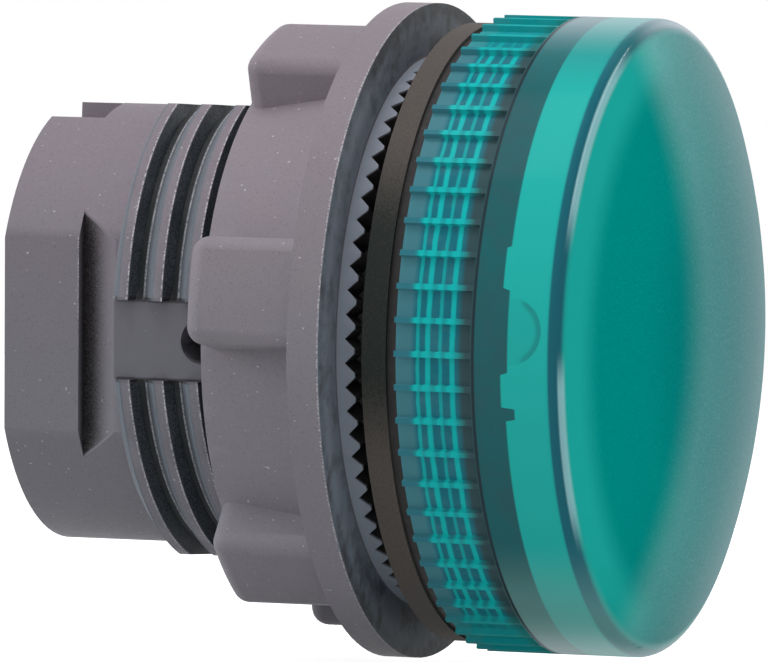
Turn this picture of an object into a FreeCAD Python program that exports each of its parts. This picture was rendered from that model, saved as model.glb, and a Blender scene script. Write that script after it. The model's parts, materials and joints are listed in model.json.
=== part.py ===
"""Panel pilot light head: lens, moulded housing, fixing nut, gasket, lamp and lamp holder.

Lengths are in millimetres. The axis of the light is X and the lens faces +X. The origin lies on
that axis in the plane where the gasket meets the front of the panel. +Z is up.
"""

import FreeCAD, Part

import math
import os

import Sketcher

SIZES = (
    ("neck_radius", 11.0, "crests of the neck thread, for a 22.3 mm panel hole"),
    ("thread_depth", 0.7, "crests of the neck thread above its roots"),
    ("thread_pitch", 1.65, "neck thread, one turn"),
    ("thread_crest_width", 0.5, "flat on top of the thread"),
    ("thread_front_slope", 0.3, "length of the steep front flank"),
    ("thread_rear_slope", 0.7, "length of the long rear flank"),
    ("pilot_length", 2.6, "plain neck behind the housing flange"),
    ("barrel_step", 0.9, "rear barrel of the housing, below the thread crests"),
    ("barrel_rear", 19.1, "rear end of the housing behind the panel face"),
    ("barrel_front", 13.3, "where the barrel gives way to the thread"),
    ("socket_wall", 1.9, "barrel around the rear socket of the housing"),
    ("socket_depth", 1.8, "rear socket of the housing"),
    ("holder_ledge", 0.3, "rear socket beyond the bore that takes the lamp holder"),
    ("holder_seat", 14.4, "step in the bore that the lamp holder bears on"),
    ("seat_width", 0.7, "step in that bore around the throat of the neck"),
    ("side_turn", 94.5, "degrees from +Z to the flat, catch and keyway of one side"),
    ("flat_depth", 0.98, "flats on the sides of the barrel"),
    ("catch_rear", 15.5, "steep wall of the catch behind the panel face"),
    ("catch_front", 13.7, "where the ramp of the catch runs out"),
    ("catch_depth", 1.7, "deepest point of the catch in the barrel"),
    ("keyway_width", 3.6, "flat-bottomed slot along the thread"),
    ("keyway_depth", 0.65, "floor of that slot, below the thread crests"),
    ("key_hole_radius", 1.05, "hole in the floor of the slot"),
    ("key_hole_place", 9.0, "that hole behind the panel face"),
    ("top_depth", 1.03, "flat along the top of the neck, below the thread crests"),
    ("bottom_depth", 0.4, "flat along the bottom, below the thread crests"),
    ("notch_depth", 0.93, "floor of the notch at the rear top edge of the barrel"),
    ("notch_length", 2.6, "that notch along the axis"),
    ("notch_near", 4.1, "near side of that notch, from the middle"),
    ("notch_far", 0.35, "far side of that notch, from the middle"),
    ("flange_width", 2.95, "housing flange in front of the gasket, beyond the neck"),
    ("flange_thickness", 0.5, "housing flange"),
    ("lens_thread_clearance", 0.1, "lens skirt around the nose that carries it"),
    ("spigot_front", 3.8, "front end of the nose"),
    ("mouth_wall", 1.5, "counterbore in the nose, within the neck"),
    ("mouth_rear", 0.0, "bottom of that counterbore"),
    ("gasket_width", 3.1, "panel gasket beyond the neck"),
    ("gasket_thickness", 1.14, "panel gasket"),
    ("neck_clearance", 0.06, "gasket and nut around the neck"),
    ("nut_rear", 8.5, "rear face of the nut behind the panel face"),
    ("nut_front", 1.76, "front face of the nut flange behind the panel face"),
    ("nut_wall", 0.9, "hub at its rear end, around the neck"),
    ("nut_front_wall", 1.7, "hub where it meets the flange"),
    ("nut_flange_width", 3.95, "flange of the nut beyond the neck"),
    ("nut_rim_thickness", 1.5, "flange at its rim"),
    ("nut_root_thickness", 2.0, "flange at the hub"),
    ("crown_width", 1.6, "toothed crown on the nut face, beyond the neck"),
    ("crown_height", 0.87, "tooth tips above the nut face"),
    ("tooth_count", 72, "teeth of the crown"),
    ("tooth_depth", 0.47, "teeth of the crown"),
    ("tooth_gap", 0.92, "width of one notch at the tips"),
    ("tooth_turn", 2.0, "degrees from +Z to the first notch"),
    ("lobe_count", 6, "grip lobes of the nut"),
    ("lobe_inset", 0.65, "outside of the lobes, within the flange"),
    ("lobe_width", 4.9, "each lobe"),
    ("lobe_turn", 23.5, "degrees from +Z to the first lobe"),
    ("lobe_round", 0.8, "edges of the lobes"),
    ("lens_radius", 14.5, "lens, a 29 mm front"),
    ("lens_rear", 1.66, "rear edge of the lens skirt"),
    ("grip_front", 5.27, "front end of the ribbed grip"),
    ("rib_height", 0.28, "ribs above the lens between them"),
    ("rib_count", 60, "ribs of the grip"),
    ("rib_width", 0.26, "each rib"),
    ("rib_turn", 4.0, "degrees from +Z to the first rib"),
    ("dome_top", 12.45, "tip of the dome"),
    ("dome_radius", 34.4, "curve of the dome"),
    ("dome_round", 0.8, "edge between side and dome"),
    ("skirt_wall", 1.6, "lens skirt around the housing nose"),
    ("side_wall", 1.4, "side of the lens in front of the skirt"),
    ("dome_wall", 1.4, "thickness of the dome at its tip"),
    ("seal_width", 0.65, "lens seal beyond the bore of the skirt"),
    ("seal_thickness", 0.5, "lens seal"),
    ("seat_gap", 0.05, "gap left at seated faces"),
    ("sleeve_inset", 0.5, "light sleeve within the nose of the housing"),
    ("sleeve_front", 6.16, "front end of the light sleeve"),
    ("sleeve_wall", 1.0, "light sleeve"),
    ("sleeve_tail_wall", 1.05, "tail of the light sleeve inside the nose"),
    ("sleeve_floor", 1.0, "web between tail and rim of the sleeve"),
    ("tab_height", 0.35, "tabs on the front edge of the sleeve"),
    ("tab_width", 3.3, "tabs"),
    ("tab_turn", 89.5, "degrees from +Z to the first tab"),
    ("hook_height", 0.5, "small hooks on the front edge of the sleeve"),
    ("hook_width", 0.55, "hooks"),
    ("hook_turn", 106.0, "degrees from +Z to the first hook"),
    ("lamp_rear", 13.4, "end contact of the lamp behind the panel face"),
    ("cap_rear", 12.2, "rear end of the lamp cap shell"),
    ("cap_front", 3.4, "front end of the lamp cap shell"),
    ("cap_room", 2.7, "lamp cap within the throat"),
    ("cap_wall", 0.3, "lamp cap"),
    ("pin_radius", 0.95, "bayonet pins of the lamp"),
    ("pin_length", 1.0, "pins beyond the lamp cap"),
    ("pin_rear", 7.8, "pins behind the panel face"),
    ("bulb_swell", 0.3, "glass of the lamp beyond its cap"),
    ("bulb_tip", 10.1, "tip of the glass"),
    ("bulb_shoulder", 5.3, "where the glass starts to close"),
    ("bulb_neck_gap", 0.4, "glass inside the cap"),
    ("bulb_neck_rear", 6.4, "end of the glass inside the cap"),
    ("bulb_wall", 0.5, "glass of the lamp"),
    ("contact_radius", 1.5, "solder contact of the lamp"),
    ("contact_bevel", 0.3, "solder contact of the lamp"),
    ("bead_length", 0.6, "insulator behind the lamp cap"),
    ("plug_length", 1.2, "insulator inside the lamp cap"),
    ("wire_radius", 0.22, "lamp support wires"),
    ("wire_spread", 1.4, "support wires from the axis"),
    ("filament_front", 3.1, "filament in front of the panel face"),
    ("filament_radius", 0.3, "filament coil, outside"),
    ("shell_clearance", 0.1, "lamp cap inside the socket shell"),
    ("shell_wall", 0.4, "socket shell"),
    ("shell_front", 4.8, "front end of the socket shell"),
    ("shell_flange_gap", 1.3, "foot of the socket shell within the bore"),
    ("slot_clearance", 0.2, "bayonet slot around the pins"),
    ("lamp_travel", 0.8, "push of the lamp against its spring"),
    ("lamp_twist", 45.0, "degrees from locked to free"),
    ("holder_thickness", 1.8, "disc of the lamp holder"),
    ("holder_clearance", 0.05, "lamp holder in the housing"),
    ("well_radius", 2.4, "spring well in the holder"),
    ("well_depth", 1.3, "spring well in the holder"),
    ("stem_radius", 0.9, "stem of the contact plunger"),
    ("stem_clearance", 0.1, "stem in the holder"),
    ("head_radius", 2.2, "head of the contact plunger"),
    ("head_thickness", 0.55, "head of the contact plunger"),
    ("stem_tail", 0.75, "stem behind the holder"),
    ("spring_wire", 0.24, "thickness of the square spring wire"),
    ("spring_radius", 1.6, "middle of the spring coil"),
    ("spring_turns", 3, "turns of the spring"),
    ("rivet_radius", 0.8, "rivets in the holder"),
    ("rivet_inset", 2.15, "rivets in from the bore"),
    ("pad_radius", 1.4, "contact pads on the rivets"),
    ("pad_thickness", 0.6, "contact pads"),
    ("strip_width", 2.6, "centre terminal"),
    ("strip_thickness", 0.3, "centre terminal"),
)


class Size:
    """A length that knows both its sheet formula and its present value."""

    def __init__(self, text, value):
        self.text = text
        self.value = value

    @staticmethod
    def of(thing):
        return thing if isinstance(thing, Size) else Size(str(thing), float(thing))

    def joined(self, sign, other, value):
        return Size("(%s %s %s)" % (self.text, sign, other.text), value)

    def __add__(self, other):
        other = Size.of(other)
        return self.joined("+", other, self.value + other.value)

    def __sub__(self, other):
        other = Size.of(other)
        return self.joined("-", other, self.value - other.value)

    def __mul__(self, other):
        other = Size.of(other)
        return self.joined("*", other, self.value * other.value)

    def __truediv__(self, other):
        other = Size.of(other)
        return self.joined("/", other, self.value / other.value)

    def __rsub__(self, other):
        return Size.of(other) - self

    def __rtruediv__(self, other):
        return Size.of(other) / self

    def __neg__(self):
        return Size("(-1 * %s)" % self.text, -self.value)


def sine(angle):
    return Size("sin(%s)" % angle.text, math.sin(math.radians(angle.value)))


def cosine(angle):
    return Size("cos(%s)" % angle.text, math.cos(math.radians(angle.value)))


class Sizes:
    """The driving dimensions, as attributes that are Size values."""

    def __init__(self, doc):
        sheet = doc.addObject("Spreadsheet::Sheet", "Sizes")
        for row, (alias, number, note) in enumerate(SIZES, start=1):
            sheet.set("A%d" % row, note)
            sheet.set("B%d" % row, str(number))
            sheet.setAlias("B%d" % row, alias)
            setattr(self, alias, Size("Sizes.%s" % alias, float(number)))
        doc.recompute()
        self.derive_housing()
        self.derive_nut_and_gasket()
        self.derive_lens()
        self.derive_lamp()

    def derive_housing(self):
        """Distances from the axis, stepped inwards from the neck."""
        self.neck_root_radius = self.neck_radius - self.thread_depth
        self.barrel_radius = self.neck_radius - self.barrel_step
        self.socket_radius = self.barrel_radius - self.socket_wall
        self.holder_bore = self.socket_radius - self.holder_ledge
        self.throat_radius = self.holder_bore - self.seat_width
        self.mouth_radius = self.neck_radius - self.mouth_wall
        self.flange_radius = self.neck_radius + self.flange_width
        self.flat_distance = self.barrel_radius - self.flat_depth
        self.catch_distance = self.barrel_radius - self.catch_depth
        self.notch_floor = self.barrel_radius - self.notch_depth
        self.keyway_distance = self.neck_radius - self.keyway_depth
        self.top_distance = self.neck_radius - self.top_depth
        self.bottom_distance = self.neck_radius - self.bottom_depth

    def derive_nut_and_gasket(self):
        """Distances from the axis, stepped outwards from the neck."""
        self.gasket_radius = self.neck_radius + self.gasket_width
        self.nut_hub_radius = self.neck_radius + self.nut_wall
        self.nut_hub_front_radius = self.neck_radius + self.nut_front_wall
        self.nut_flange_radius = self.neck_radius + self.nut_flange_width
        self.crown_radius = self.neck_radius + self.crown_width
        self.lobe_radius = self.nut_flange_radius - self.lobe_inset

    def derive_lens(self):
        """Distances from the axis, stepped inwards from the side of the lens."""
        self.grip_radius = self.lens_radius - self.rib_height
        self.lens_hollow = self.lens_radius - self.side_wall
        self.lens_bore = self.lens_radius - self.skirt_wall
        self.spigot_radius = self.lens_bore - self.lens_thread_clearance
        self.seal_radius = self.lens_bore + self.seal_width
        self.sleeve_radius = self.spigot_radius - self.sleeve_inset
        self.sleeve_bore = self.mouth_radius - self.seat_gap - self.sleeve_tail_wall

    def derive_lamp(self):
        """Distances from the axis inside the throat and the bore of the housing."""
        self.cap_radius = self.throat_radius - self.cap_room
        self.pin_reach = self.cap_radius + self.pin_length
        self.bulb_radius = self.cap_radius + self.bulb_swell
        self.bulb_neck_radius = self.cap_radius - self.bulb_neck_gap
        self.shell_flange_radius = self.holder_bore - self.shell_flange_gap
        self.rivet_distance = self.holder_bore - self.rivet_inset


DOC = FreeCAD.newDocument("PilotLight")
S = Sizes(DOC)
ZERO = Size("0", 0.0)


# Building blocks

def bind(thing, name, size):
    """Set a property to a size and keep it bound to the sheet."""
    thing.setExpression(name, Size.of(size).text)


def new_body(label):
    body = DOC.addObject("PartDesign::Body", label)
    body.Label = label
    return body


def origin_part(body, role):
    return next(part for part in body.Origin.OriginFeatures if part.Role == role)


def new_sketch(body, role, name, offset=None, turn=None, about_x=False):
    """A sketch on an origin plane, moved along its normal and turned, if asked.

    It turns in its own plane, or with about_x around the axis of the light, which then also turns
    the direction that it is moved in.
    """
    sketch = body.newObject("Sketcher::SketchObject", name)
    sketch.AttachmentSupport = [(origin_part(body, role), "")]
    sketch.MapMode = "FlatFace"
    if turn is not None:
        axis = FreeCAD.Vector(1, 0, 0) if about_x else FreeCAD.Vector(0, 0, 1)
        rotation = FreeCAD.Rotation(axis, Size.of(turn).value or 1.0)
        sketch.AttachmentOffset = FreeCAD.Placement(FreeCAD.Vector(), rotation)
        bind(sketch, "AttachmentOffset.Rotation.Angle", turn)
    if offset is not None and about_x:
        bind(sketch, "AttachmentOffset.Base.y", -offset * sine(turn))
        bind(sketch, "AttachmentOffset.Base.z", offset * cosine(turn))
    elif offset is not None:
        bind(sketch, "AttachmentOffset.Base.z", offset)
    return sketch


def hold(sketch, kind, geometry, point, size):
    """Fix one coordinate of a sketch point to a size, measured from the sketch origin."""
    size = Size.of(size)
    if size.text == "0":
        axis = -2 if kind == "DistanceX" else -1
        sketch.addConstraint(Sketcher.Constraint("PointOnObject", geometry, point, axis))
        return
    index = sketch.addConstraint(Sketcher.Constraint(kind, -1, 1, geometry, point, size.value))
    bind(sketch, "Constraints[%d]" % index, size)


def place_point(sketch, geometry, point, corner):
    """Hold a point at its corner. A bare number is a first guess that the solver may move."""
    for kind, size in zip(("DistanceX", "DistanceY"), corner):
        if isinstance(size, Size):
            hold(sketch, kind, geometry, point, size)


def vector(corner):
    return FreeCAD.Vector(Size.of(corner[0]).value, Size.of(corner[1]).value, 0)


def draw_outline(sketch, corners, arcs=None):
    """A closed outline through the corners, each coordinate bound to the sheet.

    arcs gives, for the number of an edge's first corner, the radius of an arc and its centre. The
    arc runs clockwise, as the crown of a dome does. Its centre stays on the sketch's X axis if it
    lies there, and otherwise the arc runs smoothly into both its neighbours.
    """
    arcs = arcs or {}
    count = len(corners)
    heads = []
    tails = []
    for index in range(count):
        first = vector(corners[index])
        last = vector(corners[(index + 1) % count])
        if index in arcs:
            edge = draw_arc(sketch, first, last, *arcs[index])
            heads.append((edge, 2))
            tails.append((edge, 1))
        else:
            edge = sketch.addGeometry(Part.LineSegment(first, last), False)
            heads.append((edge, 1))
            tails.append((edge, 2))
    rounds = [index for index, (radius, centre) in arcs.items() if centre[1]]
    for index in range(count):
        edge, point = heads[index]
        smooth = index in rounds or (index - 1) % count in rounds
        joint = "Tangent" if smooth else "Coincident"
        sketch.addConstraint(Sketcher.Constraint(joint, *tails[index - 1], edge, point))
        place_point(sketch, edge, point, corners[index])


def draw_arc(sketch, first, last, radius, centre):
    middle = FreeCAD.Vector(centre[0], centre[1], 0)
    start = last - middle
    end = first - middle
    circle = Part.Circle(middle, FreeCAD.Vector(0, 0, 1), radius.value)
    angles = (math.atan2(start.y, start.x), math.atan2(end.y, end.x))
    edge = sketch.addGeometry(Part.ArcOfCircle(circle, *angles), False)
    if not centre[1]:
        sketch.addConstraint(Sketcher.Constraint("PointOnObject", edge, 3, -1))
    index = sketch.addConstraint(Sketcher.Constraint("Radius", edge, radius.value))
    bind(sketch, "Constraints[%d]" % index, radius)
    return edge


def draw_circle(sketch, radius, across=ZERO, up=ZERO):
    centre = vector((across, up))
    circle = Part.Circle(centre, FreeCAD.Vector(0, 0, 1), Size.of(radius).value)
    edge = sketch.addGeometry(circle, False)
    place_point(sketch, edge, 3, (across, up))
    index = sketch.addConstraint(Sketcher.Constraint("Radius", edge, Size.of(radius).value))
    bind(sketch, "Constraints[%d]" % index, radius)


def draw_box(sketch, left, right, low, high):
    left, right, low, high = [Size.of(side) for side in (left, right, low, high)]
    draw_outline(sketch, [(left, low), (right, low), (right, high), (left, high)])


def turn_profile(body, name, corners, arcs=None):
    """A ring or plug turned about the X axis from its half section."""
    sketch = new_sketch(body, "XZ_Plane", name + "_section")
    draw_outline(sketch, corners, arcs)
    turned = body.newObject("PartDesign::Revolution", name)
    turned.Profile = sketch
    turned.ReferenceAxis = (sketch, ["H_Axis"])
    turned.Angle = 360
    return turned


def turn_slot(body, name, corners, angle, turn=None):
    """A groove turned about the X axis, centred on its sketch and angle degrees long."""
    sketch = new_sketch(body, "XZ_Plane", name + "_section", turn=turn, about_x=True)
    draw_outline(sketch, corners)
    DOC.recompute()
    slot = body.newObject("PartDesign::Groove", name)
    slot.Profile = sketch
    slot.ReferenceAxis = (sketch, ["H_Axis"])
    slot.Midplane = True
    slot.Angle = Size.of(angle).value
    bind(slot, "Angle", angle)
    return slot


def extrude(kind, body, name, sketch, length, reverse=False, both_ways=False):
    feature = body.newObject(kind, name)
    feature.Profile = sketch
    feature.Length = Size.of(length).value
    bind(feature, "Length", length)
    feature.Reversed = reverse
    if both_ways:
        feature.SideType = "Symmetric"
    return feature


def pad(body, name, sketch, length, reverse=False, both_ways=False):
    return extrude("PartDesign::Pad", body, name, sketch, length, reverse, both_ways)


def pocket(body, name, sketch, length, reverse=False, both_ways=False):
    return extrude("PartDesign::Pocket", body, name, sketch, length, reverse, both_ways)


def ring_pattern(body, name, originals, count, angle=360):
    """Copies of features around the X axis."""
    pattern = body.newObject("PartDesign::PolarPattern", name)
    pattern.Originals = originals
    pattern.Axis = (origin_part(body, "X_Axis"), [""])
    pattern.Angle = Size.of(angle).value
    bind(pattern, "Angle", angle)
    pattern.Occurrences = int(Size.of(count).value)
    bind(pattern, "Occurrences", count)
    body.Tip = pattern
    return pattern


def round_edges(body, name, base, chosen, radius):
    """Fillet the edges that the test picks on the base feature."""
    DOC.recompute()
    names = ["Edge%d" % (number + 1) for number, edge in enumerate(base.Shape.Edges) if chosen(edge)]
    fillet = body.newObject("PartDesign::Fillet", name)
    fillet.Base = (base, names)
    fillet.Radius = Size.of(radius).value
    bind(fillet, "Radius", radius)
    return fillet


def reach(point):
    return math.hypot(point.y, point.z)


def near(value, wanted, slack=0.02):
    return abs(value - Size.of(wanted).value) < slack


# Housing

def make_housing():
    """Barrel, threaded neck, flange and lens nose in one moulding."""
    body = new_body("housing")
    flange_front = S.gasket_thickness + S.flange_thickness
    pilot_rear = S.gasket_thickness - S.pilot_length
    socket_floor = S.socket_depth - S.barrel_rear
    turn_profile(body, "housing_turned", [
        (-S.barrel_rear, S.socket_radius),
        (-S.barrel_rear, S.barrel_radius),
        (-S.barrel_front, S.barrel_radius),
        (-S.barrel_front, S.neck_root_radius),
        (pilot_rear, S.neck_root_radius),
        (pilot_rear, S.neck_radius),
        (S.gasket_thickness, S.neck_radius),
        (S.gasket_thickness, S.flange_radius),
        (flange_front, S.flange_radius),
        (flange_front, S.spigot_radius),
        (S.spigot_front, S.spigot_radius),
        (S.spigot_front, S.mouth_radius),
        (S.mouth_rear, S.mouth_radius),
        (S.mouth_rear, S.throat_radius),
        (-S.holder_seat, S.throat_radius),
        (-S.holder_seat, S.holder_bore),
        (socket_floor, S.holder_bore),
        (socket_floor, S.socket_radius),
    ])
    add_neck_thread(body, pilot_rear)
    cut_sides(body, pilot_rear)
    cut_top_and_bottom(body, pilot_rear)
    return body


def cut_along(body, name, rear, front, sides, turn=None):
    """Cut a box out of the housing between two places on the axis."""
    sketch = new_sketch(body, "YZ_Plane", name + "_outline", offset=rear, turn=turn)
    draw_box(sketch, *sides)
    return pocket(body, name, sketch, front - rear, reverse=True)


def cut_sides(body, pilot_rear):
    """A flat with a ramped catch and a keyway with a hole, on opposite sides."""
    wide = S.neck_radius
    outside = S.neck_radius + S.thread_depth
    half = S.keyway_width / 2
    flat = cut_along(body, "flat", -S.barrel_rear, -S.barrel_front,
                     (-wide, wide, S.flat_distance, outside), S.side_turn)
    keyway = cut_along(body, "keyway", -S.barrel_front, pilot_rear,
                       (-half, half, S.keyway_distance, outside), S.side_turn)
    section = new_sketch(body, "XZ_Plane", "catch_section", turn=S.side_turn, about_x=True)
    draw_outline(section, [
        (-S.catch_rear, S.catch_distance),
        (-S.catch_rear, S.barrel_radius),
        (-S.catch_front, S.barrel_radius),
        (-S.catch_front, S.flat_distance),
    ])
    catch = pocket(body, "catch", section, wide * 2, both_ways=True)
    hole = new_sketch(body, "XY_Plane", "key_hole_outline", turn=S.side_turn, about_x=True)
    draw_circle(hole, S.key_hole_radius, across=-S.key_hole_place)
    key_hole = pocket(body, "key_hole", hole, outside, reverse=True)
    ring_pattern(body, "housing_sides", [flat, keyway, catch, key_hole], 2)


def cut_top_and_bottom(body, pilot_rear):
    """Flats along the top of the whole neck and along the bottom of the thread, and a notch."""
    wide = S.neck_radius
    outside = S.neck_radius + S.thread_depth
    cut_along(body, "top_flat", -S.barrel_rear, pilot_rear, (-wide, wide, S.top_distance, outside))
    cut_along(body, "bottom_flat", -S.barrel_front, pilot_rear,
              (-wide, wide, -outside, -S.bottom_distance))
    cut_along(body, "top_notch", -S.barrel_rear, S.notch_length - S.barrel_rear,
              (-S.notch_near, -S.notch_far, S.notch_floor, outside))


def add_neck_thread(body, pilot_rear):
    """The buttress ridge that winds around the neck, steep in front and sloped behind."""
    start = -S.barrel_front + 0.02
    base = S.neck_root_radius - 0.15
    foot = S.thread_rear_slope + S.thread_crest_width + S.thread_front_slope
    sketch = new_sketch(body, "XZ_Plane", "thread_section")
    draw_outline(sketch, [
        (start, base),
        (start + S.thread_rear_slope, S.neck_radius),
        (start + S.thread_rear_slope + S.thread_crest_width, S.neck_radius),
        (start + foot, base),
    ])
    thread = body.newObject("PartDesign::AdditiveHelix", "neck_thread")
    thread.Profile = sketch
    thread.ReferenceAxis = (sketch, ["H_Axis"])
    thread.Mode = 0
    thread.Pitch = S.thread_pitch.value
    bind(thread, "Pitch", S.thread_pitch)
    run = pilot_rear - start - foot
    thread.Height = run.value
    bind(thread, "Height", run)
    return thread


# Nut and gasket

def make_fixing_nut():
    """Six-lobed nut with a flange and a crown of teeth that bite the back of the panel."""
    body = new_body("fixing_nut")
    bore = S.neck_radius + S.neck_clearance
    tips = S.crown_height - S.nut_front
    turn_profile(body, "nut_turned", [
        (-S.nut_rear, bore),
        (-S.nut_rear, S.nut_hub_radius),
        (-S.nut_front - S.nut_root_thickness, S.nut_hub_front_radius),
        (-S.nut_front - S.nut_rim_thickness, S.nut_flange_radius),
        (-S.nut_front, S.nut_flange_radius),
        (-S.nut_front, S.crown_radius),
        (tips, S.crown_radius),
        (tips, bore),
    ])
    cut_crown(body, bore, tips)
    lobe = new_sketch(body, "YZ_Plane", "lobe_outline", offset=-S.nut_rear, turn=S.lobe_turn)
    draw_lobe(lobe)
    lobe_pad = pad(body, "lobe", lobe, S.nut_rear - S.nut_front - S.nut_rim_thickness * 0.5)
    lobes = ring_pattern(body, "lobes", [lobe_pad], S.lobe_count)
    round_edges(body, "lobe_rounds", lobes, is_lobe_edge, S.lobe_round)
    return body


def cut_crown(body, bore, tips):
    """Notches all around the crown, which leave pointed teeth."""
    notch = new_sketch(body, "XY_Plane", "notch_outline", bore - 0.3, S.tooth_turn, about_x=True)
    draw_outline(notch, [
        (tips - S.tooth_depth, ZERO),
        (tips + 0.01, S.tooth_gap / -2),
        (tips + 0.01, S.tooth_gap / 2),
    ])
    cut = pocket(body, "notch", notch, S.crown_radius - bore + 0.6, reverse=True)
    ring_pattern(body, "crown_teeth", [cut], S.tooth_count)


def draw_lobe(sketch):
    """Parallel sides and an outside that follows the nut's own circle."""
    half = S.lobe_width / 2
    low = S.nut_hub_radius - 0.4
    top = math.sqrt(S.lobe_radius.value ** 2 - half.value ** 2)
    spread = math.asin(half.value / S.lobe_radius.value)
    circle = Part.Circle(FreeCAD.Vector(), FreeCAD.Vector(0, 0, 1), S.lobe_radius.value)
    middle = math.pi / 2
    arc = sketch.addGeometry(Part.ArcOfCircle(circle, middle - spread, middle + spread), False)
    left, right = -half.value, half.value
    ends = [(left, top), (left, low.value), (right, low.value), (right, top)]
    points = [FreeCAD.Vector(across, up, 0) for across, up in ends]
    sides = [sketch.addGeometry(Part.LineSegment(*pair), False) for pair in zip(points, points[1:])]
    joints = [(arc, 2, sides[0], 1), (sides[0], 2, sides[1], 1), (sides[1], 2, sides[2], 1),
              (sides[2], 2, arc, 1)]
    for joint in joints:
        sketch.addConstraint(Sketcher.Constraint("Coincident", *joint))
    sketch.addConstraint(Sketcher.Constraint("Coincident", arc, 3, -1, 1))
    index = sketch.addConstraint(Sketcher.Constraint("Radius", arc, S.lobe_radius.value))
    bind(sketch, "Constraints[%d]" % index, S.lobe_radius)
    hold(sketch, "DistanceX", arc, 1, half)
    hold(sketch, "DistanceX", arc, 2, -half)
    place_point(sketch, sides[1], 1, (-half, low))
    place_point(sketch, sides[1], 2, (half, low))


def is_lobe_edge(edge):
    """Long outer edges of the lobes and the edges of their rear ends."""
    middle = edge.valueAt(0.5 * (edge.FirstParameter + edge.LastParameter))
    ends = [vertex.Point for vertex in edge.Vertexes]
    at_rear = all(near(end.x, -S.nut_rear) for end in ends)
    at_top = all(near(reach(end), S.lobe_radius) for end in ends)
    return reach(middle) > S.nut_hub_radius.value + 0.1 and (at_rear or at_top) and near_lobe(middle)


def near_lobe(point):
    return point.x < -S.nut_front.value - S.nut_root_thickness.value


def make_panel_gasket():
    body = new_body("panel_gasket")
    bore = S.neck_radius + S.neck_clearance
    turn_profile(body, "gasket_turned", [
        (ZERO, bore),
        (ZERO, S.gasket_radius),
        (S.gasket_thickness, S.gasket_radius),
        (S.gasket_thickness, bore),
    ])
    return body


# Lens

def make_lens_cap():
    """Ribbed collar, smooth side and domed front, hollow inside."""
    body = new_body("lens_cap")
    turn_outer_lens(body)
    hollow = new_sketch(body, "XZ_Plane", "hollow_section")
    counterbore = S.lens_rear + S.seal_thickness + S.seat_gap * 2
    seal_space = S.seal_radius + S.seat_gap
    skirt_front = S.spigot_front + S.seat_gap
    draw_outline(hollow, [
        (S.lens_rear - 1, ZERO),
        (S.lens_rear - 1, seal_space),
        (counterbore, seal_space),
        (counterbore, S.lens_bore),
        (skirt_front, S.lens_bore),
        (skirt_front, S.lens_hollow),
        inner_dome(1),
        inner_dome(0.66),
        inner_dome(0.33),
        (S.dome_top - S.dome_wall, ZERO),
    ])
    DOC.recompute()
    groove = body.newObject("PartDesign::Groove", "hollow")
    groove.Profile = hollow
    groove.ReferenceAxis = (hollow, ["H_Axis"])
    groove.Angle = 360
    rib = new_sketch(body, "YZ_Plane", "rib_outline", offset=S.lens_rear, turn=S.rib_turn)
    draw_box(rib, S.rib_width / -2, S.rib_width / 2, S.grip_radius - 0.2, S.lens_radius)
    rib_pad = pad(body, "rib", rib, S.grip_front - S.lens_rear)
    ring_pattern(body, "grip_ribs", [rib_pad], S.rib_count)
    return body


def turn_outer_lens(body):
    """The outside of the lens, with a round edge between its side and its dome."""
    centre = (S.dome_top - S.dome_radius).value
    drop = (S.lens_radius - S.dome_round).value
    edge = centre + math.sqrt((S.dome_radius - S.dome_round).value ** 2 - drop ** 2)
    slope = math.atan2(drop, edge - centre)
    rim = (edge + S.dome_round.value * math.cos(slope), drop + S.dome_round.value * math.sin(slope))
    return turn_profile(body, "lens_turned", [
        (S.lens_rear, ZERO),
        (S.lens_rear, S.grip_radius),
        (S.grip_front, S.grip_radius),
        (S.grip_front, S.lens_radius),
        (edge, S.lens_radius),
        rim,
        (S.dome_top, ZERO),
    ], {4: (S.dome_round, (edge, drop)), 5: (S.dome_radius, (centre, 0))})


def inner_dome(share):
    """A corner of the dome's inside, at this share of the hollow's radius."""
    height = S.lens_hollow * share
    return (S.dome_top - S.dome_wall - height * height / (S.dome_radius * 2), height)


def make_lens_seal():
    body = new_body("lens_seal")
    rear = S.lens_rear + S.seat_gap
    turn_profile(body, "seal_turned", [
        (rear, S.spigot_radius + S.neck_clearance),
        (rear, S.seal_radius),
        (rear + S.seal_thickness, S.seal_radius),
        (rear + S.seal_thickness, S.spigot_radius + S.neck_clearance),
    ])
    return body


def make_light_sleeve():
    """Dark sleeve in the mouth of the housing that shades the lens skirt."""
    body = new_body("light_sleeve")
    tail = S.mouth_radius - S.seat_gap
    rim_bore = S.sleeve_radius - S.sleeve_wall
    turn_profile(body, "sleeve_turned", [
        (S.mouth_rear, S.sleeve_bore),
        (S.mouth_rear, tail),
        (S.spigot_front, tail),
        (S.spigot_front, S.sleeve_radius),
        (S.sleeve_front, S.sleeve_radius),
        (S.sleeve_front, rim_bore),
        (S.spigot_front + S.sleeve_floor, rim_bore),
        (S.spigot_front + S.sleeve_floor, S.sleeve_bore),
    ])
    tab = add_tab(body, "tab", rim_bore, S.tab_width, S.tab_height, S.tab_turn)
    hook = add_tab(body, "hook", rim_bore, S.hook_width, S.hook_height, S.hook_turn)
    ring_pattern(body, "sleeve_edge", [tab, hook], 2)
    return body


def add_tab(body, name, rim_bore, width, height, turn):
    sketch = new_sketch(body, "YZ_Plane", name + "_outline", offset=S.sleeve_front, turn=turn)
    draw_box(sketch, width / -2, width / 2, rim_bore + 0.1, S.sleeve_radius - 0.15)
    return pad(body, name, sketch, height)


# Lamp

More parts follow.
